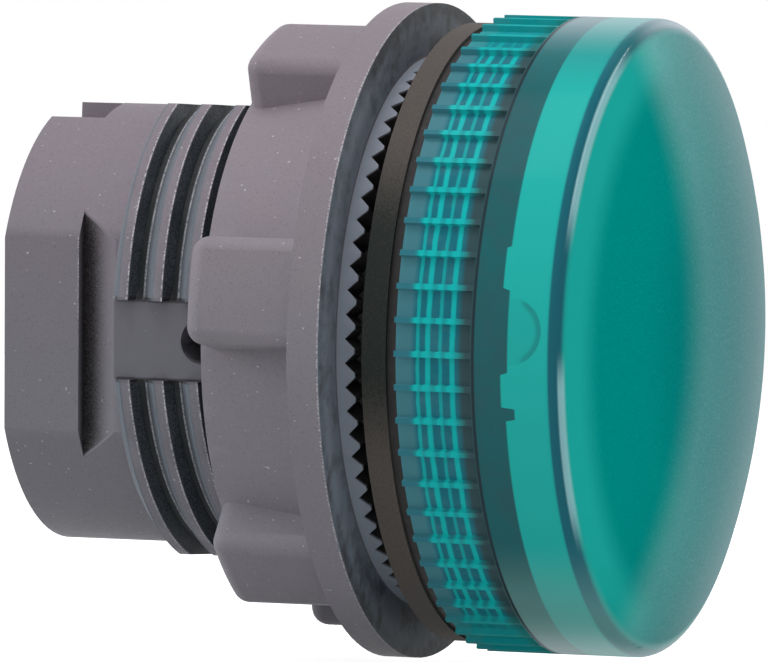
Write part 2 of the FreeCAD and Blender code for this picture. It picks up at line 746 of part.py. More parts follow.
def make_lamp_glass():
    body = new_body("lamp_glass")
    neck = S.bulb_neck_radius
    inside = S.bulb_radius - S.bulb_wall
    outer = bulb_crown(S.bulb_radius, S.bulb_tip)
    inner = bulb_crown(inside, S.bulb_tip - S.bulb_wall)
    turn_profile(body, "glass_turned", [
        (-S.bulb_neck_rear, neck - S.bulb_wall),
        (-S.bulb_neck_rear, neck),
        (-S.cap_front, neck),
        (-S.cap_front + S.bulb_wall, S.bulb_radius),
    ] + outer + inner[::-1] + [
        (-S.cap_front + S.bulb_wall * 2, inside),
        (-S.cap_front + S.bulb_wall, neck - S.bulb_wall),
    ])
    return body


def bulb_crown(radius, tip):
    """Corners of the closed end of the glass, from its shoulder to its tip."""
    rise = tip - S.bulb_shoulder
    return [
        (S.bulb_shoulder, radius),
        (S.bulb_shoulder + rise * 0.65, radius * 0.73),
        (S.bulb_shoulder + rise * 0.93, radius * 0.32),
        (tip, ZERO),
    ]


def make_lamp_cap():
    """Metal shell with two bayonet pins."""
    body = new_body("lamp_cap")
    inside = S.cap_radius - S.cap_wall
    turn_profile(body, "cap_turned", [
        (-S.cap_rear, inside),
        (-S.cap_rear, S.cap_radius),
        (-S.cap_front, S.cap_radius),
        (-S.cap_front, inside),
    ])
    sketch = new_sketch(body, "XY_Plane", "pin_outline", offset=inside)
    draw_circle(sketch, S.pin_radius, across=-S.pin_rear)
    pin = pad(body, "pin", sketch, S.pin_reach - inside)
    ring_pattern(body, "pins", [pin], 2)
    return body


def make_lamp_insulator():
    body = new_body("lamp_insulator")
    waist = S.contact_radius + 0.4
    turn_profile(body, "insulator_turned", [
        (-S.cap_rear - S.bead_length, ZERO),
        (-S.cap_rear - S.bead_length, waist),
        (-S.cap_rear, S.cap_radius - S.cap_wall * 2),
        (-S.cap_rear, S.cap_radius - S.cap_wall),
        (-S.cap_rear + S.plug_length, S.cap_radius - S.cap_wall),
        (-S.cap_rear + S.plug_length, ZERO),
    ])
    return body


def make_lamp_contact():
    body = new_body("lamp_contact")
    turn_profile(body, "contact_turned", [
        (-S.lamp_rear, ZERO),
        (-S.lamp_rear, S.contact_radius * 0.5),
        (-S.lamp_rear + S.contact_bevel, S.contact_radius),
        (-S.cap_rear - S.bead_length, S.contact_radius),
        (-S.cap_rear - S.bead_length, ZERO),
    ])
    return body


def make_lamp_supports():
    """Two wires that rise from the insulator and carry the filament."""
    body = new_body("lamp_supports")
    foot = S.plug_length - S.cap_rear
    sketch = new_sketch(body, "YZ_Plane", "wire_outline", offset=foot)
    draw_circle(sketch, S.wire_radius, up=S.wire_spread)
    wire = pad(body, "wire", sketch, S.filament_front - foot)
    ring_pattern(body, "wires", [wire], 2)
    return body


def make_lamp_filament():
    body = new_body("lamp_filament")
    sketch = new_sketch(body, "XY_Plane", "filament_outline", offset=-S.wire_spread - 0.3)
    draw_circle(sketch, S.filament_radius, across=S.filament_front + S.filament_radius)
    pad(body, "filament", sketch, S.wire_spread * 2 + 0.6)
    return body


# Lamp holder

def make_socket_shell():
    """Metal tube with two L-shaped slots that lock the lamp's pins."""
    body = new_body("socket_shell")
    bore = S.cap_radius + S.shell_clearance
    outside = bore + S.shell_wall
    rear = -S.holder_seat
    turn_profile(body, "shell_turned", [
        (rear, bore - 0.8),
        (rear, S.shell_flange_radius),
        (rear + S.shell_wall, S.shell_flange_radius),
        (rear + S.shell_wall, outside),
        (-S.shell_front, outside),
        (-S.shell_front, bore),
        (rear + S.shell_wall, bore),
        (rear + S.shell_wall, bore - 0.8),
    ])
    slot_rear = -S.pin_rear - S.pin_radius - S.lamp_travel - S.slot_clearance
    slot_front = S.pin_radius + S.slot_clearance - S.pin_rear
    reach_angle = math.degrees(math.asin((S.pin_radius + S.slot_clearance).value / bore.value))
    leg = turn_slot(body, "lock_leg", [
        (slot_rear, bore - 0.3),
        (slot_front, bore - 0.3),
        (slot_front, outside + 0.3),
        (slot_rear, outside + 0.3),
    ], S.lamp_twist + 2 * reach_angle, turn=S.lamp_twist / -2)
    entry = new_sketch(body, "YZ_Plane", "entry_outline", offset=slot_rear, turn=-S.lamp_twist)
    half = S.pin_radius + S.slot_clearance
    draw_box(entry, -half, half, bore * 0.8, outside + 0.3)
    entry_cut = pocket(body, "entry_leg", entry, -S.shell_front - slot_rear + 1, reverse=True)
    foot = new_sketch(body, "YZ_Plane", "rivet_holes", offset=rear)
    draw_circle(foot, S.rivet_radius + S.stem_clearance, across=S.rivet_distance)
    hole = pocket(body, "rivet_hole", foot, S.shell_wall, reverse=True)
    ring_pattern(body, "shell_sides", [leg, entry_cut, hole], 2)
    return body


def make_holder_base():
    """Insulating disc with a well for the contact spring."""
    body = new_body("holder_base")
    front = -S.holder_seat
    rear = front - S.holder_thickness
    turn_profile(body, "holder_turned", [
        (rear, S.stem_radius + S.stem_clearance),
        (rear, S.holder_bore - S.holder_clearance),
        (front, S.holder_bore - S.holder_clearance),
        (front, S.well_radius),
        (front - S.well_depth, S.well_radius),
        (front - S.well_depth, S.stem_radius + S.stem_clearance),
    ])
    through = new_sketch(body, "YZ_Plane", "through_holes", offset=rear)
    draw_circle(through, S.rivet_radius + S.stem_clearance, across=S.rivet_distance)
    hole = pocket(body, "through_hole", through, S.holder_thickness, reverse=True)
    ring_pattern(body, "through_pair", [hole], 2)
    blind = new_sketch(body, "YZ_Plane", "blind_hole_outline", offset=rear)
    draw_circle(blind, S.rivet_radius, up=-S.rivet_distance)
    pocket(body, "blind_hole", blind, S.holder_thickness / 2, reverse=True)
    return body


def make_contact_plunger():
    """Button that presses on the lamp, with a stem through the holder."""
    body = new_body("contact_plunger")
    face = -S.lamp_rear
    back = face - S.head_thickness
    tail = -S.holder_seat - S.holder_thickness - S.stem_tail
    turn_profile(body, "plunger_turned", [
        (tail, ZERO),
        (tail, S.stem_radius),
        (back, S.stem_radius),
        (back, S.head_radius),
        (face, S.head_radius),
        (face, ZERO),
    ])
    return body


def make_plunger_spring():
    """Coil between the bottom of the well and the plunger head."""
    body = new_body("plunger_spring")
    low = -S.holder_seat - S.well_depth
    high = -S.lamp_rear - S.head_thickness - S.spring_wire
    half = S.spring_wire / 2
    sketch = new_sketch(body, "XZ_Plane", "spring_section")
    draw_box(sketch, low, low + S.spring_wire, S.spring_radius - half, S.spring_radius + half)
    coil = body.newObject("PartDesign::AdditiveHelix", "coil")
    coil.Profile = sketch
    coil.ReferenceAxis = (sketch, ["H_Axis"])
    coil.Mode = 0
    pitch = (high - low) / S.spring_turns
    coil.Pitch = pitch.value
    bind(coil, "Pitch", pitch)
    coil.Height = (high - low).value
    bind(coil, "Height", high - low)
    return body


def make_centre_terminal():
    """Strip on the rear of the holder from the stem to its rivet."""
    body = new_body("centre_terminal")
    rear = -S.holder_seat - S.holder_thickness - S.strip_thickness
    sketch = new_sketch(body, "YZ_Plane", "strip_outline", offset=rear)
    half = S.strip_width / 2
    draw_box(sketch, -half, half, -S.rivet_distance - half, half * 1.3)
    pad(body, "strip", sketch, S.strip_thickness)
    holes = new_sketch(body, "YZ_Plane", "strip_holes", offset=rear)
    draw_circle(holes, S.stem_radius + S.stem_clearance)
    draw_circle(holes, S.rivet_radius, up=-S.rivet_distance)
    pocket(body, "strip_cut", holes, S.strip_thickness, reverse=True)
    return body


def make_rivet(label, across, up, seat, length):
    """Round pad with a shank that runs forward from the seat into the holder."""
    body = new_body(label)
    head = new_sketch(body, "YZ_Plane", label + "_head_outline", offset=seat - S.pad_thickness)
    draw_circle(head, S.pad_radius, across, up)
    pad(body, label + "_head", head, S.pad_thickness)
    shank = new_sketch(body, "YZ_Plane", label + "_shank_outline", offset=seat)
    draw_circle(shank, S.rivet_radius, across, up)
    pad(body, label + "_shank", shank, length)
    return body


def make_rivets():
    """Two rivets hold the shell, one of them its terminal, and a third holds the centre strip."""
    disc_rear = -S.holder_seat - S.holder_thickness
    through = S.holder_thickness + S.shell_wall
    blind = S.holder_thickness / 2 + S.strip_thickness
    return [
        make_rivet("shell_terminal", S.rivet_distance, ZERO, disc_rear, through),
        make_rivet("shell_rivet", -S.rivet_distance, ZERO, disc_rear, through),
        make_rivet("centre_rivet", ZERO, -S.rivet_distance, disc_rear - S.strip_thickness, blind),
    ]


# Checks and files

def check_document():
    for thing in DOC.Objects:
        if "Invalid" in thing.State or "Error" in thing.State:
            raise RuntimeError("%s is in state %s" % (thing.Name, thing.State))


def check_part(body):
    if body.Shape.isNull() or not body.Shape.isValid():
        raise RuntimeError("%s has no valid shape" % body.Label)


def main():
    bodies = [
        make_housing(),
        make_fixing_nut(),
        make_panel_gasket(),
        make_lens_cap(),
        make_lens_seal(),
        make_light_sleeve(),
        make_lamp_glass(),
        make_lamp_filament(),
        make_lamp_supports(),
        make_lamp_cap(),
        make_lamp_insulator(),
        make_lamp_contact(),
        make_socket_shell(),
        make_holder_base(),
        make_contact_plunger(),
        make_plunger_spring(),
        make_centre_terminal(),
    ] + make_rivets()
    DOC.recompute()
    check_document()
    os.makedirs("parts", exist_ok=True)
    for body in bodies:
        check_part(body)
        body.Shape.exportStep("parts/%s.step" % body.Label)
        solids = len(body.Shape.Solids)
        print("%s: %d solid, %.1f mm3" % (body.Label, solids, body.Shape.Volume))


main()
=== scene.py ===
"""Looks of a panel pilot light: a teal lens on a grey threaded body with a lobed fixing nut.

All lengths are in metres. The axis of the light is X, the lens faces +X and +Z is up. The origin
lies on the axis, in the plane where the gasket meets the front of the panel.
"""

from __future__ import annotations

import json
import logging
import math
from collections.abc import Callable
from dataclasses import dataclass
from enum import Enum
from typing import ClassVar, Protocol

import bpy
from mathutils import Matrix, Vector

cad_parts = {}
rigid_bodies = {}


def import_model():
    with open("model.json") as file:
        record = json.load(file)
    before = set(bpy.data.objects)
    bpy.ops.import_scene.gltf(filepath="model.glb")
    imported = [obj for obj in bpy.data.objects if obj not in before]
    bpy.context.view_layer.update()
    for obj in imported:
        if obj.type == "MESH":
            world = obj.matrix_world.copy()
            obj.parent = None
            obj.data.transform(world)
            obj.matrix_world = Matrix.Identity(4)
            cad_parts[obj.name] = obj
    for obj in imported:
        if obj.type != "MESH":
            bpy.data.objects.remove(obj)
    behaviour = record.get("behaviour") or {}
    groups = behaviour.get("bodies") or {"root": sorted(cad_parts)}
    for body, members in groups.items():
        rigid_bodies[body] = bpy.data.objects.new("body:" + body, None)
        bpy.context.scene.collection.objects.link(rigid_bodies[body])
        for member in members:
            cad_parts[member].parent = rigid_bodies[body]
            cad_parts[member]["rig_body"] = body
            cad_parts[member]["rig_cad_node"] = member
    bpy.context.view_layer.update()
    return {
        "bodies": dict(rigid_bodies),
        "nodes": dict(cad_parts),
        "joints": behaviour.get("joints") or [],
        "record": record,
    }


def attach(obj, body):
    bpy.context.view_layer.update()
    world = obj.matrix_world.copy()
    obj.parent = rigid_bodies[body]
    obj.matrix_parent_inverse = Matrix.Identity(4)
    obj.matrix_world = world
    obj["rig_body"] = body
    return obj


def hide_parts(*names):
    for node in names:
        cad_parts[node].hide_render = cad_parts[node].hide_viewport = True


LOG = logging.getLogger("pilot_light")
MM = 0.001

Colour = tuple[float, float, float]
Place = tuple[float, float, float]
Step = tuple[float, float]
Socket = bpy.types.NodeSocket


class Zone(Enum):
    """Which way a grain runs on a moulded surface."""

    EVEN = "even"
    TURNED = "turned"


# Shader expressions


class Wire:
    """A number inside a material, which takes part in Python expressions."""

    def __init__(self, sheet: Sheet, socket: Socket) -> None:
        """Keep the material and the output socket that carries the number."""
        self.sheet = sheet
        self.socket = socket

    def _join(self, operation: str, *others: Wire | float, clamp: bool = False) -> Wire:
        """Result of a Math node on this number and others, kept between 0 and 1 if asked."""
        return self.sheet.math(operation, self, *others, clamp=clamp)

    def __add__(self, other: Wire | float) -> Wire:
        """Sum."""
        return self._join("ADD", other)

    def __radd__(self, other: float) -> Wire:
        """Sum with a plain number first."""
        return self._join("ADD", other)

    def __sub__(self, other: Wire | float) -> Wire:
        """Difference."""
        return self._join("SUBTRACT", other)

    def __rsub__(self, other: float) -> Wire:
        """Plain number minus this one."""
        return self.sheet.math("SUBTRACT", other, self)

    def __mul__(self, other: Wire | float) -> Wire:
        """Product."""
        return self._join("MULTIPLY", other)

    def __pow__(self, other: Wire | float) -> Wire:
        """Power."""
        return self._join("POWER", other)

    def __abs__(self) -> Wire:
        """Size without its sign."""
        return self._join("ABSOLUTE")

    def root(self) -> Wire:
        """Square root."""
        return self._join("SQRT")

    def sine_of_degrees(self) -> Wire:
        """Sine of this angle in degrees."""
        return (self * math.radians(1))._join("SINE")

    def arcsine_degrees(self) -> Wire:
        """Angle in degrees, from -90 to 90, whose sine this is."""
        return self._join("ARCSINE") * math.degrees(1)

    def part(self) -> Wire:
        """What is left after whole numbers are taken off."""
        return self._join("FRACT")

    def limited(self) -> Wire:
        """This number, kept between 0 and 1."""
        return self._join("ADD", 0.0, clamp=True)

    def rise(self, low: float, high: float) -> Wire:
        """A soft step.

        Args:
            low: Where the step starts, with a result of 0.
            high: Where it ends, with a result of 1. It may be the lower of the two.

        Returns:
            A number between 0 and 1.
        """
        node = self.sheet.node(
            "ShaderNodeMapRange",
            {"interpolation_type": "SMOOTHSTEP", "clamp": True},
            {"Value": self, "From Min": low, "From Max": high, "To Min": 0.0, "To Max": 1.0},
        )
        return Wire(self.sheet, node.outputs["Result"])


class Sheet:
    """One material under construction."""

    def __init__(self, name: str) -> None:
        """Start an empty material.

        Args:
            name: The material's name.
        """
        self.material = bpy.data.materials.new(name)
        self.material.use_nodes = True
        self.tree = self.material.node_tree
        self.tree.nodes.clear()
        self.output = self.tree.nodes.new("ShaderNodeOutputMaterial")
        self._place: list[Wire] | None = None

    def node(self, kind: str, settings: dict | None = None,
             inputs: dict | None = None) -> bpy.types.Node:
        """Add a node, set it up and fill its inputs.

        Args:
            kind: The node's type name.
            settings: Its properties, which are set first.
            inputs: Its sockets by name or number, each a number, colour, vector, Wire or socket.

        Returns:
            The new node.
        """
        node = self.tree.nodes.new(kind)
        for name, value in (settings or {}).items():
            setattr(node, name, value)
        for name, value in (inputs or {}).items():
            socket = node.inputs[name]
            if isinstance(value, Wire):
                self.tree.links.new(value.socket, socket)
            elif isinstance(value, Socket):
                self.tree.links.new(value, socket)
            elif isinstance(value, tuple) and len(value) == 3 and socket.type == "RGBA":
                socket.default_value = (*value, 1.0)
            else:
                socket.default_value = value
        return node

    def math(self, operation: str, *values: Wire | float, clamp: bool = False) -> Wire:
        """Result of a Math node on these inputs, kept between 0 and 1 if asked."""
        settings = {"operation": operation, "use_clamp": clamp}
        return Wire(self, self.node("ShaderNodeMath", settings, dict(enumerate(values))).outputs[0])

    def place(self) -> list[Wire]:
        """Where a point lies on the object.

        Returns:
            Its X, Y and Z in millimetres.
        """
        if self._place is None:
            coordinates = self.node("ShaderNodeTexCoord").outputs["Object"]
            split = self.node("ShaderNodeSeparateXYZ", inputs={"Vector": coordinates})
            self._place = [Wire(self, socket) * (1.0 / MM) for socket in split.outputs]
        return self._place

    def reach(self) -> Wire:
        """Distance from the axis of the light, in millimetres."""
        _, across, up = self.place()
        return (across * across + up * up).root()

    def turn(self) -> Wire:
        """Angle around the axis in degrees, 0 on the -Y side and growing towards +Z."""
        _, across, up = self.place()
        return self.math("ARCTAN2", up, across * -1.0) * math.degrees(1)

    def noise(self, size: float, detail: float = 2.0, stretch: Place = (1.0, 1.0, 1.0)) -> Wire:
        """Cloudy noise.

        Args:
            size: How large its spots are, in metres.
            detail: How much finer noise rides on it.
            stretch: How much longer the spots are along X, Y and Z.

        Returns:
            A number around 0.5.
        """
        coordinates = self.node("ShaderNodeTexCoord").outputs["Object"]
        scale = tuple(1.0 / factor for factor in stretch)
        mapped = self.node("ShaderNodeMapping", inputs={"Vector": coordinates, "Scale": scale})
        inputs = {"Vector": mapped.outputs[0], "Scale": 1.0 / size, "Detail": detail,
                  "Roughness": 0.6}
        return Wire(self, self.node("ShaderNodeTexNoise", inputs=inputs).outputs["Fac"])

    def blend(self, share: Wire, first: Colour | Socket, second: Colour | Socket) -> Socket:
        """Mix two colours.

        Args:
            share: 0 for the first colour, 1 for the second.
            first: A colour or a socket that carries one.
            second: The other colour.

        Returns:
            The socket of the mixed colour.
        """
        settings = {"data_type": "RGBA", "clamp_factor": True}
        inputs = {0: share, 6: first, 7: second}
        return self.node("ShaderNodeMix", settings, inputs).outputs[2]

    def bump(self, height: Wire, depth: float, strength: float) -> Socket:
        """Normal that follows a height, where 1 is depth metres high."""
        inputs = {"Height": height, "Distance": depth, "Strength": strength}
        return self.node("ShaderNodeBump", inputs=inputs).outputs["Normal"]

    def principled(self, inputs: dict) -> Socket:
        """Add a Principled shader with these inputs and return its output."""
        return self.node("ShaderNodeBsdfPrincipled", inputs=inputs).outputs["BSDF"]

    def mixed(self, share: Wire, first: Socket, second: Socket) -> Socket:
        """Mix of two shaders, with the first alone where the share is 0."""
        return self.node("ShaderNodeMixShader", inputs={0: share, 1: first, 2: second}).outputs[0]

    def finish(self, surface: Socket) -> bpy.types.Material:
        """Join the surface to the output and return the material."""
        self.tree.links.new(surface, self.output.inputs["Surface"])
        return self.material


# Finishes


def shown(red: int, green: int, blue: int) -> Colour:
    """Colour for a shader by the values, from 0 to 255, that it has on a screen."""
    values = (value / 255 for value in (red, green, blue))
    return tuple(v / 12.92 if v <= 0.04045 else ((v + 0.055) / 1.055) ** 2.4 for v in values)


class Finish(Protocol):
    """What a piece is made of."""

    @property
    def name(self) -> str:
        """Name of the material and of its slot."""

    def material(self) -> bpy.types.Material:
        """Build the material."""


@dataclass(frozen=True)
class Moulding:
    """Grey plastic with the fine grain of a sparked mould.

    Its colour turns from its painted low light tone to its painted top light tone, lit copies of
    one plastic under two lights, in a step of heights in millimetres, which clouds raise and lower.
    """

    name: str
    # painted light: the tone where the top light falls and the tone where the low light falls
    painted_top_light: Colour
    painted_low_light: Colour
    rough: float = 0.6
    gloss: float = 0.25
    grain: float = 0.09 * MM
    grain_depth: float = 0.014 * MM
    fine_factor: float = 2.6
    pit_shade: float = 0.55
    pit_share: float = 0.4
    cloud_size: float = 2.0 * MM
    cloud_height: float = 9.0
    top_light_step: Step = (-5.0, 9.0)
    fleck: Colour = shown(225, 225, 228)
    fleck_size: float = 0.16 * MM
    fleck_share: float = 0.45

    def material(self) -> bpy.types.Material:
        """Build the material.

        Returns:
            The finished material.
        """
        sheet = Sheet(self.name)
        cloud = sheet.noise(self.cloud_size, 2.0)
        speck = sheet.noise(self.grain, 1.0)
        fine = sheet.noise(self.grain * self.fine_factor, 1.0)
        height = sheet.place()[2] + (cloud - 0.5) * self.cloud_height
        # painted light: the low light's tone below and the top light's tone above
        colour = sheet.blend(height.rise(*self.top_light_step), self.painted_low_light, self.painted_top_light)
        pits = (0.5 - speck).rise(0.0, 0.3) * self.pit_share
        colour = sheet.blend(pits, colour, tuple(self.pit_shade * value for value in self.painted_low_light))
        flecks = sheet.noise(self.fleck_size, 0.0).rise(0.82, 0.85) * self.fleck_share
        colour = sheet.blend(flecks, colour, self.fleck)
        colour = self.details(sheet, colour, speck)
        return sheet.finish(sheet.principled({
            "Base Color": colour,
            "Roughness": self.rough + (fine - 0.5) * 0.3,
            "Normal": sheet.bump(speck * 0.6 + fine * 0.4, self.grain_depth, 0.8),
            "Specular IOR Level": self.gloss,
        }))

    def details(self, sheet: Sheet, colour: Socket, speck: Wire) -> Socket:
        """Marks of one piece on top of the plain moulding, which has none.

        Args:
            sheet: The material.
            colour: The plain moulding's colour.
            speck: The grain.

        Returns:
            The colour with its marks.
        """
        return colour


@dataclass(frozen=True)
class Spot:
    """Where a point of the housing lies, in millimetres.

    reach is its distance from the axis, out the part of that along the keyways' direction, beside
    the part across it, and behind how far it lies behind the front edge of the thread's crest.
    threaded is 1 on the thread and 0 elsewhere.
    """

    along: Wire
    up: Wire
    reach: Wire
    out: Wire
    beside: Wire
    behind: Wire
    threaded: Wire


@dataclass(frozen=True)
class HousingMoulding(Moulding):
    """The housing's plastic, with painted shade in its thread's grooves, on its keyway bands and
    their edges, on the catch recess and on its nose, painted light on the thread's sloping flanks
    and speckled pale painted highlights on its edges.

    Its lengths are in millimetres. A step says where a mark begins and where it is full.
    """

    # Colours of painted shade, of the pale painted highlights, of painted light on the sloping
    # flank and of painted shade on the keyway band.
    painted_shade: Colour = shown(36, 34, 34)
    groove_shade: Colour = shown(16, 20, 22)
    flank_shade: Colour = shown(78, 84, 90)
    dust_and_glint: Colour = shown(214, 212, 216)
    slope_light: Colour = shown(104, 114, 122)
    band: Colour = shown(106, 108, 115)
    pitch: float = 1.65
    first_edge: float = -12.08
    thread_shift: float = -0.75
    thread_rear: Step = (-13.28, -13.2)
    thread_front: Step = (-1.35, -1.5)
    slope_behind: Step = (0.38, 0.46)
    foot_behind: float = 1.12
    foot_width: Step = (0.05, 0.02)
    groove_behind: Step = (1.14, 1.2)
    groove_reach: Step = (10.98, 10.9)
    flank_behind: Step = (1.38, 1.44)
    edge_start: Step = (0.0, 0.01)
    edge_end: Step = (0.1, 0.04)
    edge_reach: Step = (10.9, 10.97)
    keyway_turn: float = -4.5
    keyway_beside: Step = (1.85, 1.75)
    keyway_out: Step = (6.0, 7.0)
    band_beside: Step = (1.8, 1.76)
    band_out: float = 10.37
    band_width: Step = (0.06, 0.03)
    band_rear: Step = (-13.32, -13.25)
    border_beside: float = 1.82
    border_width: Step = (0.16, 0.06)
    border_out: Step = (8.0, 9.0)
    border_rear: Step = (-13.2, -13.1)
    border_reach: Step = (11.05, 10.9)
    wedge_rear: Step = (-15.56, -15.5)
    wedge_front: Step = (-13.7, -13.8)
    wedge_top: Step = (9.1, 8.5)
    wedge_floor: Step = (8.2, 8.3)
    wedge_reach: Step = (10.07, 10.0)
    catch_place: float = -15.51
    catch_width: Step = (0.05, 0.02)
    catch_out: Step = (9.0, 9.1)
    catch_up: Step = (-2.5, 3.4)
    nose_along: Step = (1.12, 1.14)
    nose_reach: Step = (11.5, 11.8)

    def details(self, sheet: Sheet, colour: Socket, speck: Wire) -> Socket:
        """Paint shade into grooves, keyway bands, catch recess and nose, and highlights on edges.

        Args:
            sheet: The material.
            colour: The plain moulding's colour.
            speck: The grain.

        Returns:
            The colour with its marks.
        """
        spot = self._spot(sheet)
        colour = self._thread_marks(sheet, colour, speck, spot)
        # painted shade on the keyway band
        band = spot.beside.rise(*self.band_beside) * spot.along.rise(*self.band_rear)
        band = band * abs(spot.out - self.band_out).rise(*self.band_width)
        colour = sheet.blend(band * 0.8, colour, self.band)
        # painted shade: dark lines along the keyway band's edges, where the thread's cut ends stand
        border = abs(spot.beside - self.border_beside).rise(*self.border_width)
        border = border * spot.out.rise(*self.border_out) * spot.reach.rise(*self.border_reach)
        border = border * spot.along.rise(*self.border_rear) * spot.along.rise(*self.thread_front)
        colour = sheet.blend(border * 0.75, colour, self.painted_shade)
        # painted shadow on the catch recess, cast by its wall and darkest next to it
        wedge = spot.out.rise(*self.wedge_top) * spot.out.rise(*self.wedge_floor)
        wedge = wedge * spot.along.rise(*self.wedge_rear) * spot.along.rise(*self.wedge_front)
        wedge = wedge * spot.reach.rise(*self.wedge_reach)
        colour = sheet.blend(wedge * (1.3 - speck * 0.8), colour, self.painted_shade)
        # painted highlights: speckled pale lines on the crests' front edges and on the catch wall's
        # edge
        edge = spot.behind.rise(*self.edge_end) * spot.behind.rise(*self.edge_start)
        edge = spot.threaded * edge * spot.reach.rise(*self.edge_reach)
        catch = abs(spot.along - self.catch_place).rise(*self.catch_width)
        catch = catch * spot.out.rise(*self.catch_out) * spot.up.rise(*self.catch_up)
        painted_glint = (edge + catch).limited() * speck.rise(0.42, 0.6)
        colour = sheet.blend(painted_glint * 0.75, colour, self.dust_and_glint)
        # painted shade: the housing blackened from its front flange on, in the gap behind the lens
        nose = spot.along.rise(*self.nose_along) * spot.reach.rise(*self.nose_reach)
        return sheet.blend(nose, colour, self.painted_shade)

    def _spot(self, sheet: Sheet) -> Spot:
        """Find where a point of the housing lies.

        Args:
            sheet: The material.

        Returns:
            Its place.
        """
        along, across, up = sheet.place()
        turn = math.radians(self.keyway_turn)
        out = abs(across * math.cos(turn) - up * math.sin(turn))
        beside = abs(up * math.cos(turn) + across * math.sin(turn))
        keyway = beside.rise(*self.keyway_beside)
        open_thread = 1.0 - keyway * out.rise(*self.keyway_out)
        threaded = along.rise(*self.thread_rear) * along.rise(*self.thread_front) * open_thread
        turned = (90.0 - sheet.turn()) * (self.pitch / 360.0)
        turns = (turned - along + (self.first_edge + self.thread_shift)) * (1.0 / self.pitch)
        return Spot(along, up, sheet.reach(), out, beside, turns.part() * self.pitch, threaded)

    def _thread_marks(self, sheet: Sheet, colour: Socket, speck: Wire, spot: Spot) -> Socket:
        """Paint light on the sloping flanks, a highlight at their foot and shade in the grooves.

        Args:
            sheet: The material.
            colour: The colour so far.
            speck: The grain.
            spot: Where a point lies.

        Returns:
            The colour with these marks.
        """
        # painted light: the sloping flank behind each crest in the tone that its light gives it
        slope_light = spot.threaded * spot.behind.rise(*self.slope_behind)
        colour = sheet.blend(slope_light * (0.85 + (0.5 - speck) * 1.2), colour, self.slope_light)
        # painted highlight: a speckled pale line at the sloping flank's foot
        foot = spot.threaded * abs(spot.behind - self.foot_behind).rise(*self.foot_width)
        colour = sheet.blend(foot * speck.rise(0.35, 0.6) * 0.6, colour, self.dust_and_glint)
        # painted shade: dark grooves, and lighter speckled painted shade on the steep front flanks
        groove = spot.threaded * spot.behind.rise(*self.groove_behind)
        groove = groove * spot.reach.rise(*self.groove_reach)
        colour = sheet.blend(groove * 0.95, colour, self.groove_shade)
        speckle = spot.behind.rise(*self.flank_behind) * (0.6 + (speck - 0.5) * 2.5)
        return sheet.blend((groove * speckle).limited(), colour, self.flank_shade)


@dataclass(frozen=True)
class NutMoulding(Moulding):
    """The nut's plastic, with pale painted highlights on its rim and teeth, painted light on the
    teeth's outer ring and on the flange's front, and painted shade inside the teeth.

    Its lengths are in millimetres. A step says where a mark begins and where it is full.
    """

    # Colours of the pale painted highlights, of painted shade, of painted light on the teeth's
    # outer ring and on the flange's front, and of the flange front's darker clouds and edges.
    dust_and_glint: Colour = shown(206, 204, 208)
    painted_shade: Colour = shown(26, 30, 30)
    crown_light: Colour = shown(168, 180, 194)
    face_light: Colour = shown(166, 180, 196)
    face_darkening: Colour = shown(58, 56, 56)
    rim_place: float = -1.80
    rim_width: Step = (0.07, 0.03)
    rim_reach: Step = (14.85, 14.92)
    tip_along: Step = (-1.02, -0.93)
    tip_reach: Step = (12.4, 12.55)
    crown_along: Step = (-1.76, -1.72)
    crown_reach: float = 12.6
    crown_width: Step = (0.06, 0.03)
    face_place: float = -1.76
    face_width: Step = (0.03, 0.01)
    face_reach: Step = (12.66, 12.75)
    darkening_reach: Step = (14.0, 14.7)
    darkening_up: Step = (9.0, 12.5)
    corner_along: Step = (-1.6, -1.4)
    corner_reach: Step = (12.53, 12.45)
    darkening_size: float = 1.1 * MM

    def details(self, sheet: Sheet, colour: Socket, speck: Wire) -> Socket:
        """Paint highlights on the flange's rim and teeth, and shade in the corner between them.

        It also paints light on the teeth's outer ring and on the flange's front, which is darker in
        clouds and towards the rim, the top and the bottom.

        Args:
            sheet: The material.
            colour: The plain moulding's colour.
            speck: The grain.

        Returns:
            The colour with its marks.
        """
        place, _, up = sheet.place()
        reach = sheet.reach()
        # painted highlights: speckled pale lines on the flange's rim and on the teeth's tips
        rim = abs(place - self.rim_place).rise(*self.rim_width) * reach.rise(*self.rim_reach)
        tips = place.rise(*self.tip_along) * reach.rise(*self.tip_reach)
        painted_glint = (rim + tips).limited() * speck.rise(0.46, 0.6)
        colour = sheet.blend(painted_glint * 0.7, colour, self.dust_and_glint)
        # painted light on the teeth's outer ring
        crown_light = abs(reach - self.crown_reach).rise(*self.crown_width)
        crown_light = crown_light * place.rise(*self.crown_along)
        colour = sheet.blend(crown_light * 0.85, colour, self.crown_light)
        # painted light on the flange's front, darker in clouds and towards the rim, the top and the
        # bottom
        face_light = abs(place - self.face_place).rise(*self.face_width) * reach.rise(*self.face_reach)
        colour = sheet.blend(face_light * 0.8, colour, self.face_light)
        clouds = sheet.noise(self.darkening_size, 3.0).rise(0.42, 0.7) * 0.45
        face_darkening = clouds + reach.rise(*self.darkening_reach) * 0.35 + abs(up).rise(*self.darkening_up) * 0.5
        colour = sheet.blend(face_light * face_darkening.limited() * 0.9, colour, self.face_darkening)
        # painted shade in the corner inside the teeth, in front of the flange
        corner = place.rise(*self.corner_along) * reach.rise(*self.corner_reach)
        return sheet.blend(corner * 0.9, colour, self.painted_shade)


